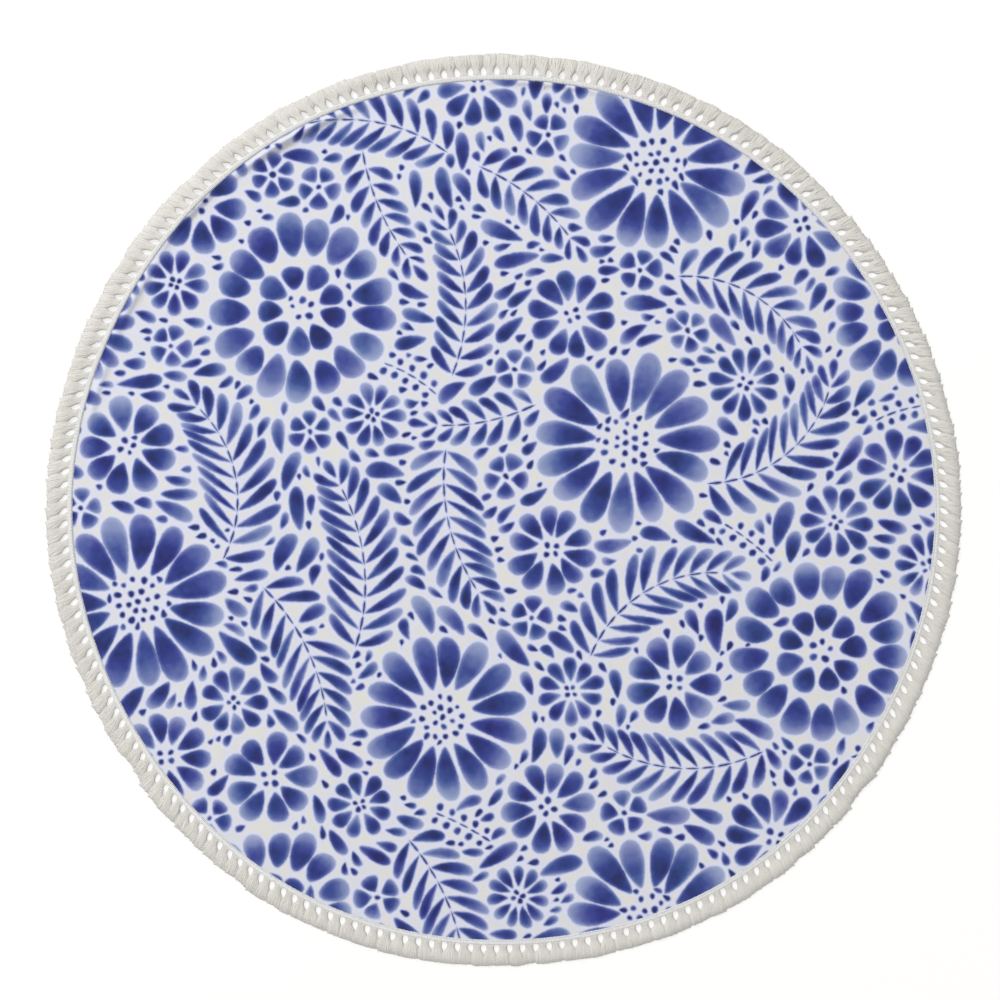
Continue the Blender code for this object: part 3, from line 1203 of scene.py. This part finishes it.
# Waves to the metre, and detail, of each unevenness of the face.
WANDER_NOISE = (150.0, 2.0)
FRAY_NOISE = (900.0, 1.0)
BITE_NOISE = (48.0, 1.0)
CLOUD_NOISE = (55.0, 2.0)
DYE_NOISE = (16.0, 1.0)
GROUND_NOISE = (24.0, 2.0)
TIPS_NOISE = (1300.0, 2.0)
PILE_NOISE = (750.0, 3.0)


def mark_wire(start, name):
    """The numbers of one of the corner marks."""
    return start.node("ShaderNodeAttribute", {"attribute_name": name}, output="Vector").split()


def dab_distance(start):
    """Distance out from the edge of the dab in metres, and what else shapes its ink."""
    along, across, seed = mark_wire(start, "dab_place")
    half_length, half_width, taper = mark_wire(start, "dab_size")
    tone, fade, bend = mark_wire(start, "dab_ink")
    squeeze = (1 + FATTENING * taper * taper) / (1 + taper * along).at_least(LEAST_SWELL)
    aside = (across - bend * (along * along - BOW_MIDDLE)) * squeeze
    reach = (along * along + aside * aside) ** 0.5
    steep_along = along / half_length
    steep_across = aside * squeeze / half_width
    slope = (steep_along * steep_along + steep_across * steep_across) ** 0.5
    distance = (reach - 1) * reach / (slope + LEAST_SLOPE)
    return distance, along, aside, seed, tone, fade


# %% Printed towelling
def ink_depth(position, distance, along, aside, seed, tone, fade):
    """How much ink lies at a place inside a dab, from 0 to about 1."""
    forwards = along * fade.sign()
    run_out = 1 - forwards.smooth(-0.40, 1.0) * abs(fade) * RUN_OUT
    heel = 1 - forwards.smooth(-0.35, -1.05) * HEEL_SHADE
    lean = 1 - (aside * (seed - 0.5)).smooth(0.0, 0.5) * LEAN_SHADE
    cloud = 1 + position.noise(*CLOUD_NOISE) * CLOUD
    core = distance.smooth(CORE_START, CORE_DEPTH)
    return tone * run_out * heel * lean * cloud * (EDGE_INK + CORE_INK * core)


def printed_towelling():
    """The face: ink and halo of each dab on the ground of a sheared pile."""
    material, start = new_material("printed_towelling")
    position = place_wire(start)
    distance, along, aside, seed, tone, fade = dab_distance(start)
    wander = position.noise(*WANDER_NOISE) * EDGE_WANDER
    fray = position.noise(*FRAY_NOISE) * EDGE_FRAY
    bite = position.noise(*BITE_NOISE).smooth(-0.05, 0.35) * EDGE_BITE
    distance = distance + wander + fray + bite
    ink = distance.smooth(EDGE_SOFTNESS, -EDGE_SOFTNESS)
    halo = distance.smooth(HALO_REACH, HALO_START)

    depth = ink_depth(position, distance, along, aside, seed, tone, fade)
    stops = [(share, seen(*color)) for share, color in INK_STOPS]
    ink_color = start.node("ShaderNodeValToRGB", {"stops": stops}, {"Fac": depth})
    hue = 0.5 + position.noise(*DYE_NOISE) * DYE_STRAY + (seed - 0.5) * DAB_STRAY
    patch = position.noise(*GROUND_NOISE).smooth(-0.15, 0.2)
    ground = patch.blend(seen(*GROUND_WARM), seen(*GROUND_COOL))
    ground = (halo * HALO_STRENGTH).blend(ground, seen(*HALO))
    color = ink.blend(ground, ink_color.tinted(hue=hue))
    color = color.tinted(value=1 + position.noise(*TIPS_NOISE) * PILE_SHADE)
    finish_textile(start, color, position.noise(*PILE_NOISE), PILE_DEPTH, *TOWEL_TOUCH)
    return material


# %% Looped towelling
LOOPS_PER_METRE = 620.0
LOOP_NOISE = (30.0, 2.0)
# Colour of the loop tops, and painted shade for the hollows between the loops.
LOOP_TOP_COLOR = (226, 224, 219)
LOOP_PAINTED_SHADE = (196, 193, 186)


def looped_towelling():
    """The plain back: small loops, which are rounder and deeper than the sheared face, with painted
    shade in the hollows between them.
    """
    material, start = new_material("looped_towelling")
    position = place_wire(start)
    sockets = {"Vector": position, "Scale": LOOPS_PER_METRE}
    loops = start.node("ShaderNodeTexVoronoi", {"feature": "SMOOTH_F1"}, sockets)
    # Painted shade: darker in the hollows between the loops, mixed with a soft random tone.
    shade = loops.smooth(0.9, 0.2) + position.noise(*LOOP_NOISE) * 0.35
    color = shade.blend(seen(*LOOP_PAINTED_SHADE), seen(*LOOP_TOP_COLOR))
    finish_textile(start, color, 1 - loops, PILE_DEPTH, *TOWEL_TOUCH)
    return material


printed_cloth = build_cloth((printed_towelling(), looped_towelling()))

# %% [markdown]
# ## The fringe
#
# A trimming of this kind is made flat on a loom: many cotton yarns hang from a narrow
# woven heading, are gathered into bars that leave windows between them, and are cut at the
# ends, where they open into soft tufts that crowd each other. The solids have one block
# for each tuft. Here each tuft gets its own yarns, and each yarn is a tube that leaves the
# heading, runs down its bar and spreads to its place in the tuft. Where one tuft ends and
# the next starts is drawn as in the solids, in the same order.

# %% Where each tuft ends
CLUMP_SIZES = (2, 3, 3, 4)
CLUMP_SLIT = 0.0022
SLIT = 0.0005
PARTING_SHIFT = 0.10
TIP_STRAY = 0.0016
TOP_STRAY = 0.12
STRAY_SEED = 7
STRAND_STEP = math.tau / STRAND_COUNT

# Short notches where the tufts are worn or tucked in.
# Columns: direction (degrees), depth (m), half width (degrees).
NOTCHES = (
    (43.0, 0.0030, 1.4),
    (132.0, 0.0030, 1.4),
    (202.0, 0.0035, 1.6),
    (214.0, 0.0055, 1.9),
    (234.0, 0.0040, 1.5),
    (273.5, 0.0030, 1.3),
    (322.5, 0.0045, 1.6),
)


def clump_ends(draw):
    """Which of the strands are the last of their clump, going round."""
    is_end = np.zeros(STRAND_COUNT, bool)
    last = -1
    while last < STRAND_COUNT - 1:
        last = min(last + draw.choice(CLUMP_SIZES), STRAND_COUNT - 1)
        is_end[last] = True
    return is_end


def notch_depth(angle):
    """How far the tufts are tucked in at this direction (m)."""
    depth = 0.0
    for direction, deepest, half_width in NOTCHES:
        away = abs((math.degrees(angle) - direction + 180.0) % 360.0 - 180.0)
        if away < half_width:
            depth = max(depth, deepest * math.cos(math.pi / 2 * away / half_width))
    return depth


def lay_out_tufts():
    """The last of each clump, then each tuft's end angle, reach and fullness."""
    draw = random.Random(STRAY_SEED)
    is_end = clump_ends(draw)
    ends = []
    for index in range(STRAND_COUNT):
        ends.append((index + 1 + draw.uniform(-PARTING_SHIFT, PARTING_SHIFT)) * STRAND_STEP)
    reaches = []
    fullness = []
    for middle in tuft_middles:
        reaches.append(STRAND_REACH + draw.uniform(-TIP_STRAY, TIP_STRAY) - notch_depth(middle))
        fullness.append(1.0 + draw.uniform(-TOP_STRAY, TOP_STRAY))
    return is_end, np.array(ends), np.array(reaches), np.array(fullness)


tuft_middles = (np.arange(STRAND_COUNT) + 0.5) * STRAND_STEP
is_clump_end, tuft_ends, tuft_reaches, tuft_fullness = lay_out_tufts()
tuft_starts = np.roll(tuft_ends, 1)
tuft_starts[0] -= math.tau
clump_partings = np.sort(tuft_ends[is_clump_end] % math.tau)
print(STRAND_COUNT, "tufts, reach", tuft_reaches.min().round(4), "to", tuft_reaches.max().round(4))

# %% [markdown]
# ### Tubes from arrays
#
# A curve object for each of over four thousand yarns would be slow. Instead the paths of
# one kind sit in one array, a row for each yarn and a column for each step along it. The
# side and the top of every ring come from cross products on the whole array at once. Each
# corner is marked with its distance along the yarn, its turn round it and a number of the
# yarn's own, which the yarn's finish uses for its twist and its shade.

# %% Tubes
YARN_MARKS = ("yarn_place",)


def unit(vectors):
    """Vectors of length one."""
    return vectors / np.linalg.norm(vectors, axis=-1, keepdims=True)


def add_tubes(pieces, paths, wide, high, sides, draw):
    """Add a closed tube along each path; wide and high are its radii, also step by step."""
    count, steps = paths.shape[:2]
    seeds = draw.uniform(0, 1, count)
    wide = np.broadcast_to(wide, (count, steps))[:, :, None, None]
    high = np.broadcast_to(high, (count, steps))[:, :, None, None]
    forward = unit(np.gradient(paths, axis=1))
    side = unit(np.cross(forward, (0.0, 0.0, 1.0)))
    top = np.cross(side, forward)
    turn = math.tau * (np.arange(sides)[:, None] + 0.5) / sides
    ring = side[:, :, None] * (np.cos(turn) * wide) + top[:, :, None] * (np.sin(turn) * high)
    first = pieces.add_points(paths[:, :, None] + ring)
    number = first + np.arange(count * steps * sides).reshape(count, steps, sides)
    after = np.roll(number, -1, axis=2)
    quads = np.stack((number[:, :-1], number[:, 1:], after[:, 1:], after[:, :-1]), -1)

    length = np.linalg.norm(np.diff(paths, axis=1), axis=-1)
    along = np.concatenate((np.zeros((count, 1)), np.cumsum(length, axis=1)), axis=1)
    around = np.arange(sides) / sides
    here = np.stack(np.broadcast_arrays(along[:, :, None], around, seeds[:, None, None]), -1)
    beside = here + (0.0, 1.0 / sides, 0.0)
    marks = np.stack((here[:, :-1], here[:, 1:], beside[:, 1:], beside[:, :-1]), -2)
    pieces.add_faces(quads.reshape(-1, 4), marks)
    pieces.add_faces(number[:, 0], here[:, 0])
    pieces.add_faces(number[:, -1, ::-1], here[:, -1, ::-1])


# %% [markdown]
# ### One tuft's shape
#
# The tuft's middle line, width and height along the way follow those of the solid: a bar
# off the heading, a quick spread past the window, a full body and a tip that drops to the
# floor. The yarns are then placed on the skin of that shape.

# %% Shape along a tuft
BAR_WIDTH = 0.0118
# Columns: share of the reach, spread (0 is a bar, 1 fills the room), bottom, top (m),
# height of the tuft's sides as a share of its middle's.
TUFT_SECTIONS = (
    (-0.07, 0.46, 0.0023, 0.0030, 1.00),
    (-0.01, 0.42, 0.0020, 0.0036, 0.96),
    (0.04, 0.22, 0.0012, 0.0042, 0.86),
    (0.09, 0.06, 0.0004, 0.0042, 0.70),
    (0.17, 0.00, 0.0000, 0.0041, 0.50),
    (0.26, 0.10, 0.0000, 0.0042, 0.46),
    (0.34, 0.37, 0.0000, 0.0044, 0.50),
    (0.41, 0.78, 0.0000, 0.0048, 0.62),
    (0.48, 1.03, 0.0000, 0.0053, 0.70),
    (0.61, 1.06, 0.0000, 0.0061, 0.88),
    (0.78, 1.06, 0.0000, 0.0057, 0.98),
    (0.92, 1.05, 0.0000, 0.0039, 1.00),
    (1.00, 1.04, 0.0000, 0.0016, 1.00),
)
SHARES, SPREAD, BOTTOM, TOP, SIDE = np.array(TUFT_SECTIONS).T
ON_FRINGE = np.clip(SHARES, 0, 1)  # the shares, without the stretch under the heading
TOP_YARNS = 15
UNDER_YARNS = 5
UNDER_SPREAD = 0.9  # of these, as a share of the top yarns'
UNDER_SKIN = 0.02  # their height, from 0 at the tuft's bottom to 1 at its top
OVER_YARNS = 2
OVER_START = 0.75  # how far to either side one may leave the heading, in half widths
OVER_DRIFT = 0.8  # how far it may have moved at its tip
OVER_LIMIT = 0.85  # and how far to the side it may end
OVER_LIFT = 0.0003
YARN_SIDES = 5
UNDER_SIDES = 4
BAR_YARN = 0.00062  # radius of a yarn in the bar
TUFT_YARN = 0.00112  # and where it opens in the tuft
TIP_YARN = 0.00062
YARN_RADIUS = np.interp(
    SHARES,
    (0.25, 0.45, 0.85, 0.96, 1.0),
    (BAR_YARN, TUFT_YARN, TUFT_YARN, 0.9 * TUFT_YARN, TIP_YARN),
)
FLATNESS = 1.5  # how much wider than high a yarn lies
BODY_UNDER_SKIN = 0.55  # how far the soft body lies under the skin, in yarn radii
BODY_SIDES = 10
YARN_WAVE = 0.00035  # how far a yarn strays sideways
YARN_HOP = 0.00012  # and up
WAVE_TURN = 7.5  # angle that the sideways wave goes through along a tuft (radians)
HOP_TURN = 9.0
YARN_STRAY = 0.05  # of its place across the tuft, as a share of the half width
TIP_RAGGED = 0.0009
BODY_REACH = 0.95  # of the soft body, as a share of the tuft's
BODY_WIDTH = 0.93
LEAST_BODY_WIDTH = 0.001
LEAST_BODY_HEIGHT = 0.0003
LEAST_SPAN = 0.0002  # between the lowest and the highest yarn
VISUAL_REACH = 0.975  # where most tips end, as a share of the solid tuft's reach
CREASE_WIDTH = 0.0035  # of the soft crease between two clumps
CREASE_DEPTH = 0.13  # as a share of the fringe's height there
CREASE_NOTCH = 0.0016  # how far the tips draw back at a crease (m)


def between_tufts(values, angle):
    """A value of the tufts at any angle, so that one tuft passes softly into the next."""
    return np.interp(angle, tuft_middles, values, period=math.tau)


def clump_crease(angle):
    """1 at a parting between two clumps and 0 a little way beside it."""
    after = np.searchsorted(clump_partings, angle) % len(clump_partings)
    turns = [clump_partings[number] - angle for number in (after, after - 1)]
    away = np.min([abs((turn + math.pi) % math.tau - math.pi) for turn in turns], axis=0)
    return np.exp(-(away * HEADING_OUTER / CREASE_WIDTH) ** 2)


def tuft_line(tufts):
    """Middle direction and half width, both as angles, of tufts at each section."""
    start, end = tuft_starts[tufts, None], tuft_ends[tufts, None]
    bar = BAR_WIDTH / 2 / HEADING_OUTER
    middle = tuft_middles[tufts, None] * (1 - SPREAD) + (start + end) / 2 * SPREAD
    half = bar * (1 - SPREAD) + (end - start) / 2 * SPREAD
    return middle, half


def tuft_top(angle):
    """Height of the fringe's top at each section, at these angles."""
    fuller = between_tufts(tuft_fullness, angle) - 1 - CREASE_DEPTH * clump_crease(angle)
    return TOP * (1 + fuller * np.minimum(SPREAD, 1.0))


# %% Place the yarns
def yarn_paths(tufts, across, skin, raise_by, draw):
    """Paths of one yarn in each of these tufts.

    across is the yarn's place from -1 to 1 at every section, skin is 1 on the top of the
    tuft and 0 on its bottom.
    """
    count = len(tufts)
    middle, half = tuft_line(tufts)
    phase = draw.uniform(0, math.tau, (count, 2, 1))
    wave = YARN_WAVE * SPREAD * np.sin(WAVE_TURN * SHARES + phase[:, 0])
    angle = middle + (half - YARN_RADIUS / HEADING_OUTER) * across + wave / HEADING_OUTER
    ragged = draw.uniform(-TIP_RAGGED, 0.35 * TIP_RAGGED, (count, 1))
    reach = between_tufts(tuft_reaches, angle) * VISUAL_REACH - CREASE_NOTCH * clump_crease(angle)
    out = reach * SHARES + ragged * ON_FRINGE ** 3
    round_over = SIDE + (1 - SIDE) * np.sqrt(1 - np.minimum(np.abs(across), 1.0) ** 3)
    span = np.maximum((tuft_top(angle) - BOTTOM) * round_over - 2 * YARN_RADIUS, LEAST_SPAN)
    hop = raise_by + YARN_HOP * np.sin(HOP_TURN * SHARES + phase[:, 1])
    height = BOTTOM + YARN_RADIUS + span * skin + hop * SPREAD
    return rim_point(angle, out, height)


def evenly(count):
    """This many places from -1 to 1."""
    return [2 * index / (count - 1) - 1 for index in range(count)]


def add_tuft_yarns(pieces, tufts, draw):
    """All the yarns of these tufts, and the soft body under them."""
    count = len(tufts)

    def add(across, skin, raise_by=0.0, sides=YARN_SIDES):
        paths = yarn_paths(tufts, across, skin, raise_by, draw)
        thick = YARN_RADIUS * draw.uniform(0.92, 1.10, (count, 1))
        thick[:, -1] *= draw.uniform(0.5, 0.9, count)
        paths[..., 2] = np.maximum(paths[..., 2], thick)
        add_tubes(pieces, paths, FLATNESS * thick, thick, sides, draw)

    for place in evenly(TOP_YARNS):
        add(place + draw.uniform(-YARN_STRAY, YARN_STRAY, (count, 1)) * SPREAD, skin=1.0)
    for place in evenly(UNDER_YARNS):
        stray = draw.uniform(-YARN_STRAY, YARN_STRAY, (count, 1))
        add(UNDER_SPREAD * place + stray, skin=UNDER_SKIN, sides=UNDER_SIDES)
    for _ in range(OVER_YARNS):
        start = draw.uniform(-OVER_START, OVER_START, (count, 1))
        end = start + draw.uniform(-OVER_DRIFT, OVER_DRIFT, (count, 1))
        end = np.clip(end, -OVER_LIMIT, OVER_LIMIT)
        add(start + (end - start) * ON_FRINGE, skin=1.0, raise_by=OVER_LIFT)

    middle, half = tuft_line(tufts)
    top = tuft_top(middle)
    out = tuft_reaches[tufts, None] * (SHARES * BODY_REACH)
    line = rim_point(middle, out, (BOTTOM + top) / 2)
    wide = np.maximum(BODY_WIDTH * half * HEADING_OUTER - YARN_RADIUS, LEAST_BODY_WIDTH)
    high = np.maximum((top - BOTTOM) / 2 - BODY_UNDER_SKIN * YARN_RADIUS, LEAST_BODY_HEIGHT)
    add_tubes(pieces, line, wide, high, BODY_SIDES, draw)


# %% [markdown]
# ### Cotton yarn
#
# Cotton yarn is two soft strands twisted together. The twist is drawn by the finish as
# slanted ridges that wind round each tube, with fibres as fine streaks along it. Every
# yarn has its own slight shade, from bleached to a warm grey, which keeps the tufts from
# looking like one moulded part.

# %% Yarn finish
TWIST_LENGTH = 0.0042  # of one full turn
PLIES = 2
STREAKS = (260.0, 9.0, 50.0)  # stretch of the noise along a yarn, round it and between yarns
STREAK_NOISE = (1.0, 3.0)
FUZZ_NOISE = (2600.0, 1.0)
SHADE_NOISE = (18.0, 2.0)
YARN_TOUCH = (0.93, 0.2, 0.5, 0.2)  # roughness, sheen, sheen's roughness, gloss


def cotton_yarn(name, light, dark, twist_depth):
    """A finish for the tubes, with ridges of this depth (m)."""
    material, start = new_material(name)
    along, around, own = mark_wire(start, "yarn_place")
    position = place_wire(start)
    ply = ((along / TWIST_LENGTH + around * PLIES + own) * math.tau).sine()
    stretched = dict(enumerate((along * STREAKS[0], around * STREAKS[1], own * STREAKS[2])))
    streak = start.node("ShaderNodeCombineXYZ", None, stretched).noise(*STREAK_NOISE)
    height = ply * 0.5 + streak * 0.9 + position.noise(*FUZZ_NOISE) * 0.5
    tint = own * 0.45 + ply * 0.06 + streak * 0.4 + position.noise(*SHADE_NOISE) * 0.6
    color = tint.smooth(-0.25, 0.85).blend(seen(*light), seen(*dark))
    finish_textile(start, color, height, twist_depth, *YARN_TOUCH)
    return material


# The colours of the lightest and the darkest yarn, and the depth of the ridges.
yarn_finish = cotton_yarn("cotton_yarn", (226, 224, 218), (210, 208, 201), 0.00022)
# Painted light: the heading's and the loose fibres' copies are the same cotton made lighter, to
# offset the shade in the heading's crevices and on the thin fibres.
painted_lighter_heading_finish = cotton_yarn("heading_yarn", (243, 243, 243), (235, 235, 234), 0.00016)
painted_lighter_fibre_finish = cotton_yarn("loose_fibre", (246, 245, 242), (236, 235, 231), 0.00001)

# %% Build the tufts in four arcs
FRINGE_ARCS = 4
TUFT_SEED = 21


def build_tufts():
    """The tufts, in arcs that each stay a handy size."""
    draw = np.random.default_rng(TUFT_SEED)
    arcs = []
    for arc in range(FRINGE_ARCS):
        first = arc * STRAND_COUNT // FRINGE_ARCS
        last = (arc + 1) * STRAND_COUNT // FRINGE_ARCS
        pieces = Pieces()
        add_tuft_yarns(pieces, np.arange(first, last), draw)
        arcs.append(pieces.make(f"tufts_{arc + 1}", (yarn_finish,), YARN_MARKS))
    return arcs


tuft_arcs = build_tufts()

# %% [markdown]
# ### The heading
#
# The heading is the woven part of the trimming, the strip that is sewn down. Close up it
# is a row of short cords side by side, each the root of a yarn, held by two lines of chain
# stitch. A thin tape under them closes the strip from below.

# %% Cords, chains and tape
CORDS_PER_STRAND = 9
CORD_COUNT = CORDS_PER_STRAND * STRAND_COUNT
CORD_SLANT = 0.0006
CORD_STRAY = 0.00025
CORD_HALF_WIDTH = 0.56  # as a share of the pitch, so that the cords press together
# Columns: share of the heading's width from its inner edge, height of the cord's middle
# line above the heading's back (m), half its own height (m), its width as a share.
CORD_PROFILE = (
    (-0.01, -0.00020, 0.00018, 0.7),
    (0.22, 0.00035, 0.00042, 1.0),
    (0.50, 0.00086, 0.00062, 1.0),
    (0.90, 0.00090, 0.00060, 1.0),
    (1.05, 0.00075, 0.00038, 0.8),
)
CHAIN_LINES = (-0.0018, -0.0061)  # distance out from the heading's outer edge
CHAIN_RADIUS = 0.00024
CHAIN_FLATNESS = 1.4
CHAIN_SLANT = 0.0008
CHAIN_SIDES = 4
# Columns: place along a link as a share of the pitch, height from the heading's top (m),
# thickness as a share.
CHAIN_PROFILE = (
    (-0.62, -0.0004, 0.6),
    (0.0, -0.00022, 1.0),
    (0.62, -0.0003, 0.8),
)
HEADING_THICKNESS = 0.0015
HEADING_TOP = HEADING_BOTTOM + HEADING_THICKNESS
TAPE_THICKNESS = 0.0005
TAPE_TOP = HEADING_BOTTOM + TAPE_THICKNESS
TAPE_WIDTH = 0.0056
TAPE_MARK = (0.02, 0.0, 0.0)  # the same at every corner, so that no twist shows
HEADING_SEED = 33


def add_cords(pieces, draw):
    """Short flattened cords side by side across the heading."""
    shares, middle, half, width = np.array(CORD_PROFILE).T
    pitch = math.tau * HEADING_OUTER / CORD_COUNT
    angles = math.tau * (np.arange(CORD_COUNT)[:, None] + 0.5) / CORD_COUNT
    slant = CORD_SLANT * (shares - 0.5) / HEADING_OUTER
    out = -HEADING_WIDTH * (1 - shares) + draw.uniform(-CORD_STRAY, CORD_STRAY, (CORD_COUNT, 1))
    high = half * draw.uniform(0.9, 1.1, (CORD_COUNT, 1))
    paths = rim_point(angles + slant, out, HEADING_BOTTOM + middle + high - half)
    add_tubes(pieces, paths, CORD_HALF_WIDTH * pitch * width, high, YARN_SIDES, draw)


def add_chains(pieces, draw):
    """Lines of chain stitch: one short slanted link over every pair of cords."""
    shares, under, width = np.array(CHAIN_PROFILE).T
    pitch = math.tau / (CORD_COUNT // 2)
    middles = pitch * (np.arange(CORD_COUNT // 2)[:, None] + 0.5)
    thick = CHAIN_RADIUS * width
    for line in CHAIN_LINES:
        out = line + CHAIN_SLANT * shares
        paths = rim_point(middles + pitch * shares, out, HEADING_TOP + under)
        add_tubes(pieces, paths, CHAIN_FLATNESS * thick, thick, CHAIN_SIDES, draw)


def add_tape(pieces):
    """The thin tape under the cords, as a closed ring of four sides."""
    here = np.arange(2 * STRAND_COUNT)
    angles = math.tau * here / len(here)
    outs = (-TAPE_WIDTH, 0.0, 0.0, -TAPE_WIDTH)
    heights = (HEADING_BOTTOM, HEADING_BOTTOM, TAPE_TOP, TAPE_TOP)
    corners = zip(outs, heights)
    rings = [here + pieces.add_points(rim_point(angles, out, height)) for out, height in corners]
    for ring, next_ring in zip(rings, rings[1:] + rings[:1]):
        quads = ring_faces(ring, next_ring)
        pieces.add_faces(quads, np.tile(TAPE_MARK, (quads.size, 1)))


def build_heading():
    """Tape, cords and chains in one piece."""
    draw = np.random.default_rng(HEADING_SEED)
    pieces = Pieces()
    add_tape(pieces)
    add_cords(pieces, draw)
    add_chains(pieces, draw)
    return pieces.make("heading", (painted_lighter_heading_finish,), YARN_MARKS)


heading = build_heading()

# %% [markdown]
# ### Seam and loose fibres
#
# On the back, the stitches that hold the hem and the heading show as a line of short
# threads in their groove. Round the tufts, single fibres have worked loose. They are too
# thin to see from far off, but they soften the outline.

# %% Seam
STITCH_LENGTH = 0.0034
THREAD_RADIUS = 0.00022
THREAD_SIDES = 4
SEAM_SEED = 41
# Columns: place along a stitch as a share of its length, height above the floor (m).
STITCH_PROFILE = ((-0.42, 0.00055), (-0.25, 0.00026), (0.25, 0.00026), (0.42, 0.00055))


def build_seam():
    """Stitches along the groove of the hem, on the back."""
    draw = np.random.default_rng(SEAM_SEED)
    shares, height = np.array(STITCH_PROFILE).T
    count = round(math.tau * (CLOTH_RADIUS - SEAM_INSET) / STITCH_LENGTH)
    angles = math.tau * (np.arange(count)[:, None] + shares) / count
    places = edge_loop(SEAM_INSET, angles)
    rise = pucker_rise(places[..., 0], places[..., 1])
    paths = np.concatenate((places, (rise + height)[..., None]), axis=-1)
    pieces = Pieces()
    add_tubes(pieces, paths, THREAD_RADIUS, THREAD_RADIUS, THREAD_SIDES, draw)
    return pieces.make("seam", (painted_lighter_heading_finish,), YARN_MARKS)


seam = build_seam()

# %% Loose fibres
FIBRES_PER_TUFT = 12
FIBRE_RADIUS = 0.00009
FIBRE_PROFILE = np.array((1.0, 1.0, 1.0, 0.9, 0.8, 0.4))  # its thickness along the way
FIBRE_SIDES = 3
FIBRE_LIMIT = 0.0035  # how far past the tufts a fibre may reach
FIBRE_DROP = 0.003  # how far past its tuft's tip a fibre has come down to the floor
FIBRE_STAND = 0.0004  # height over the tuft
FIBRE_HUMP = 0.0012  # and how much more in the fibre's middle
FIBRE_SEED = 55


def build_fibres():
    """Thin curled fibres that stand off the tufts."""
    draw = np.random.default_rng(FIBRE_SEED)
    count = FIBRES_PER_TUFT * STRAND_COUNT
    tufts = np.repeat(np.arange(STRAND_COUNT), FIBRES_PER_TUFT)
    reach = tuft_reaches[tufts, None]
    slits = np.where(is_clump_end, CLUMP_SLIT, SLIT) / 2 / HEADING_OUTER
    first = (tuft_starts + np.roll(slits, 1))[tufts, None]
    last = (tuft_ends - slits)[tufts, None]
    start_angle = first + (last - first) * draw.uniform(0.03, 0.97, (count, 1))
    start_out = reach * draw.uniform(0.60, 0.97, (count, 1))
    shares = np.linspace(0.0, 1.0, len(FIBRE_PROFILE))
    step = draw.uniform(0.004, 0.010, (count, 1)) / (len(shares) - 1)
    turn = draw.normal(0.0, 0.55, (count, 1)) + draw.normal(0, 0.9, (count, 1)) * shares
    sideways = np.cumsum(step * np.sin(turn), axis=1)
    out = start_out + np.cumsum(step * np.cos(turn), axis=1)
    out = np.minimum(out, STRAND_REACH + FIBRE_LIMIT)
    skin = np.interp(out / reach, SHARES, TOP) * (1 - np.clip((out - reach) / FIBRE_DROP, 0, 1))
    hump = FIBRE_HUMP * np.sin(math.pi * shares) * draw.uniform(0.2, 1.0, (count, 1))
    height = np.maximum(skin + FIBRE_STAND + hump, FIBRE_RADIUS * 1.5)
    paths = rim_point(start_angle + sideways / HEADING_OUTER, out, height)
    thick = FIBRE_RADIUS * FIBRE_PROFILE
    pieces = Pieces()
    add_tubes(pieces, paths, thick, thick, FIBRE_SIDES, draw)
    return pieces.make("loose_fibres", (painted_lighter_fibre_finish,), YARN_MARKS)


loose_fibres = build_fibres()

# %% [markdown]
# ## Hand the pieces to the frame
#
# The printed disc stands for the plain solid of the cloth. Tufts, heading, seam and fibres
# together stand for the solid of the fringe. Nothing on a towel turns or slides, so all of
# them ride on the one body.

# %% Bodies
fringe_pieces = [*tuft_arcs, heading, seam, loose_fibres]
for piece in fringe_pieces:
    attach(piece, "root")
    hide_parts("fringe")

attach(printed_cloth, "root")
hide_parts("cloth")
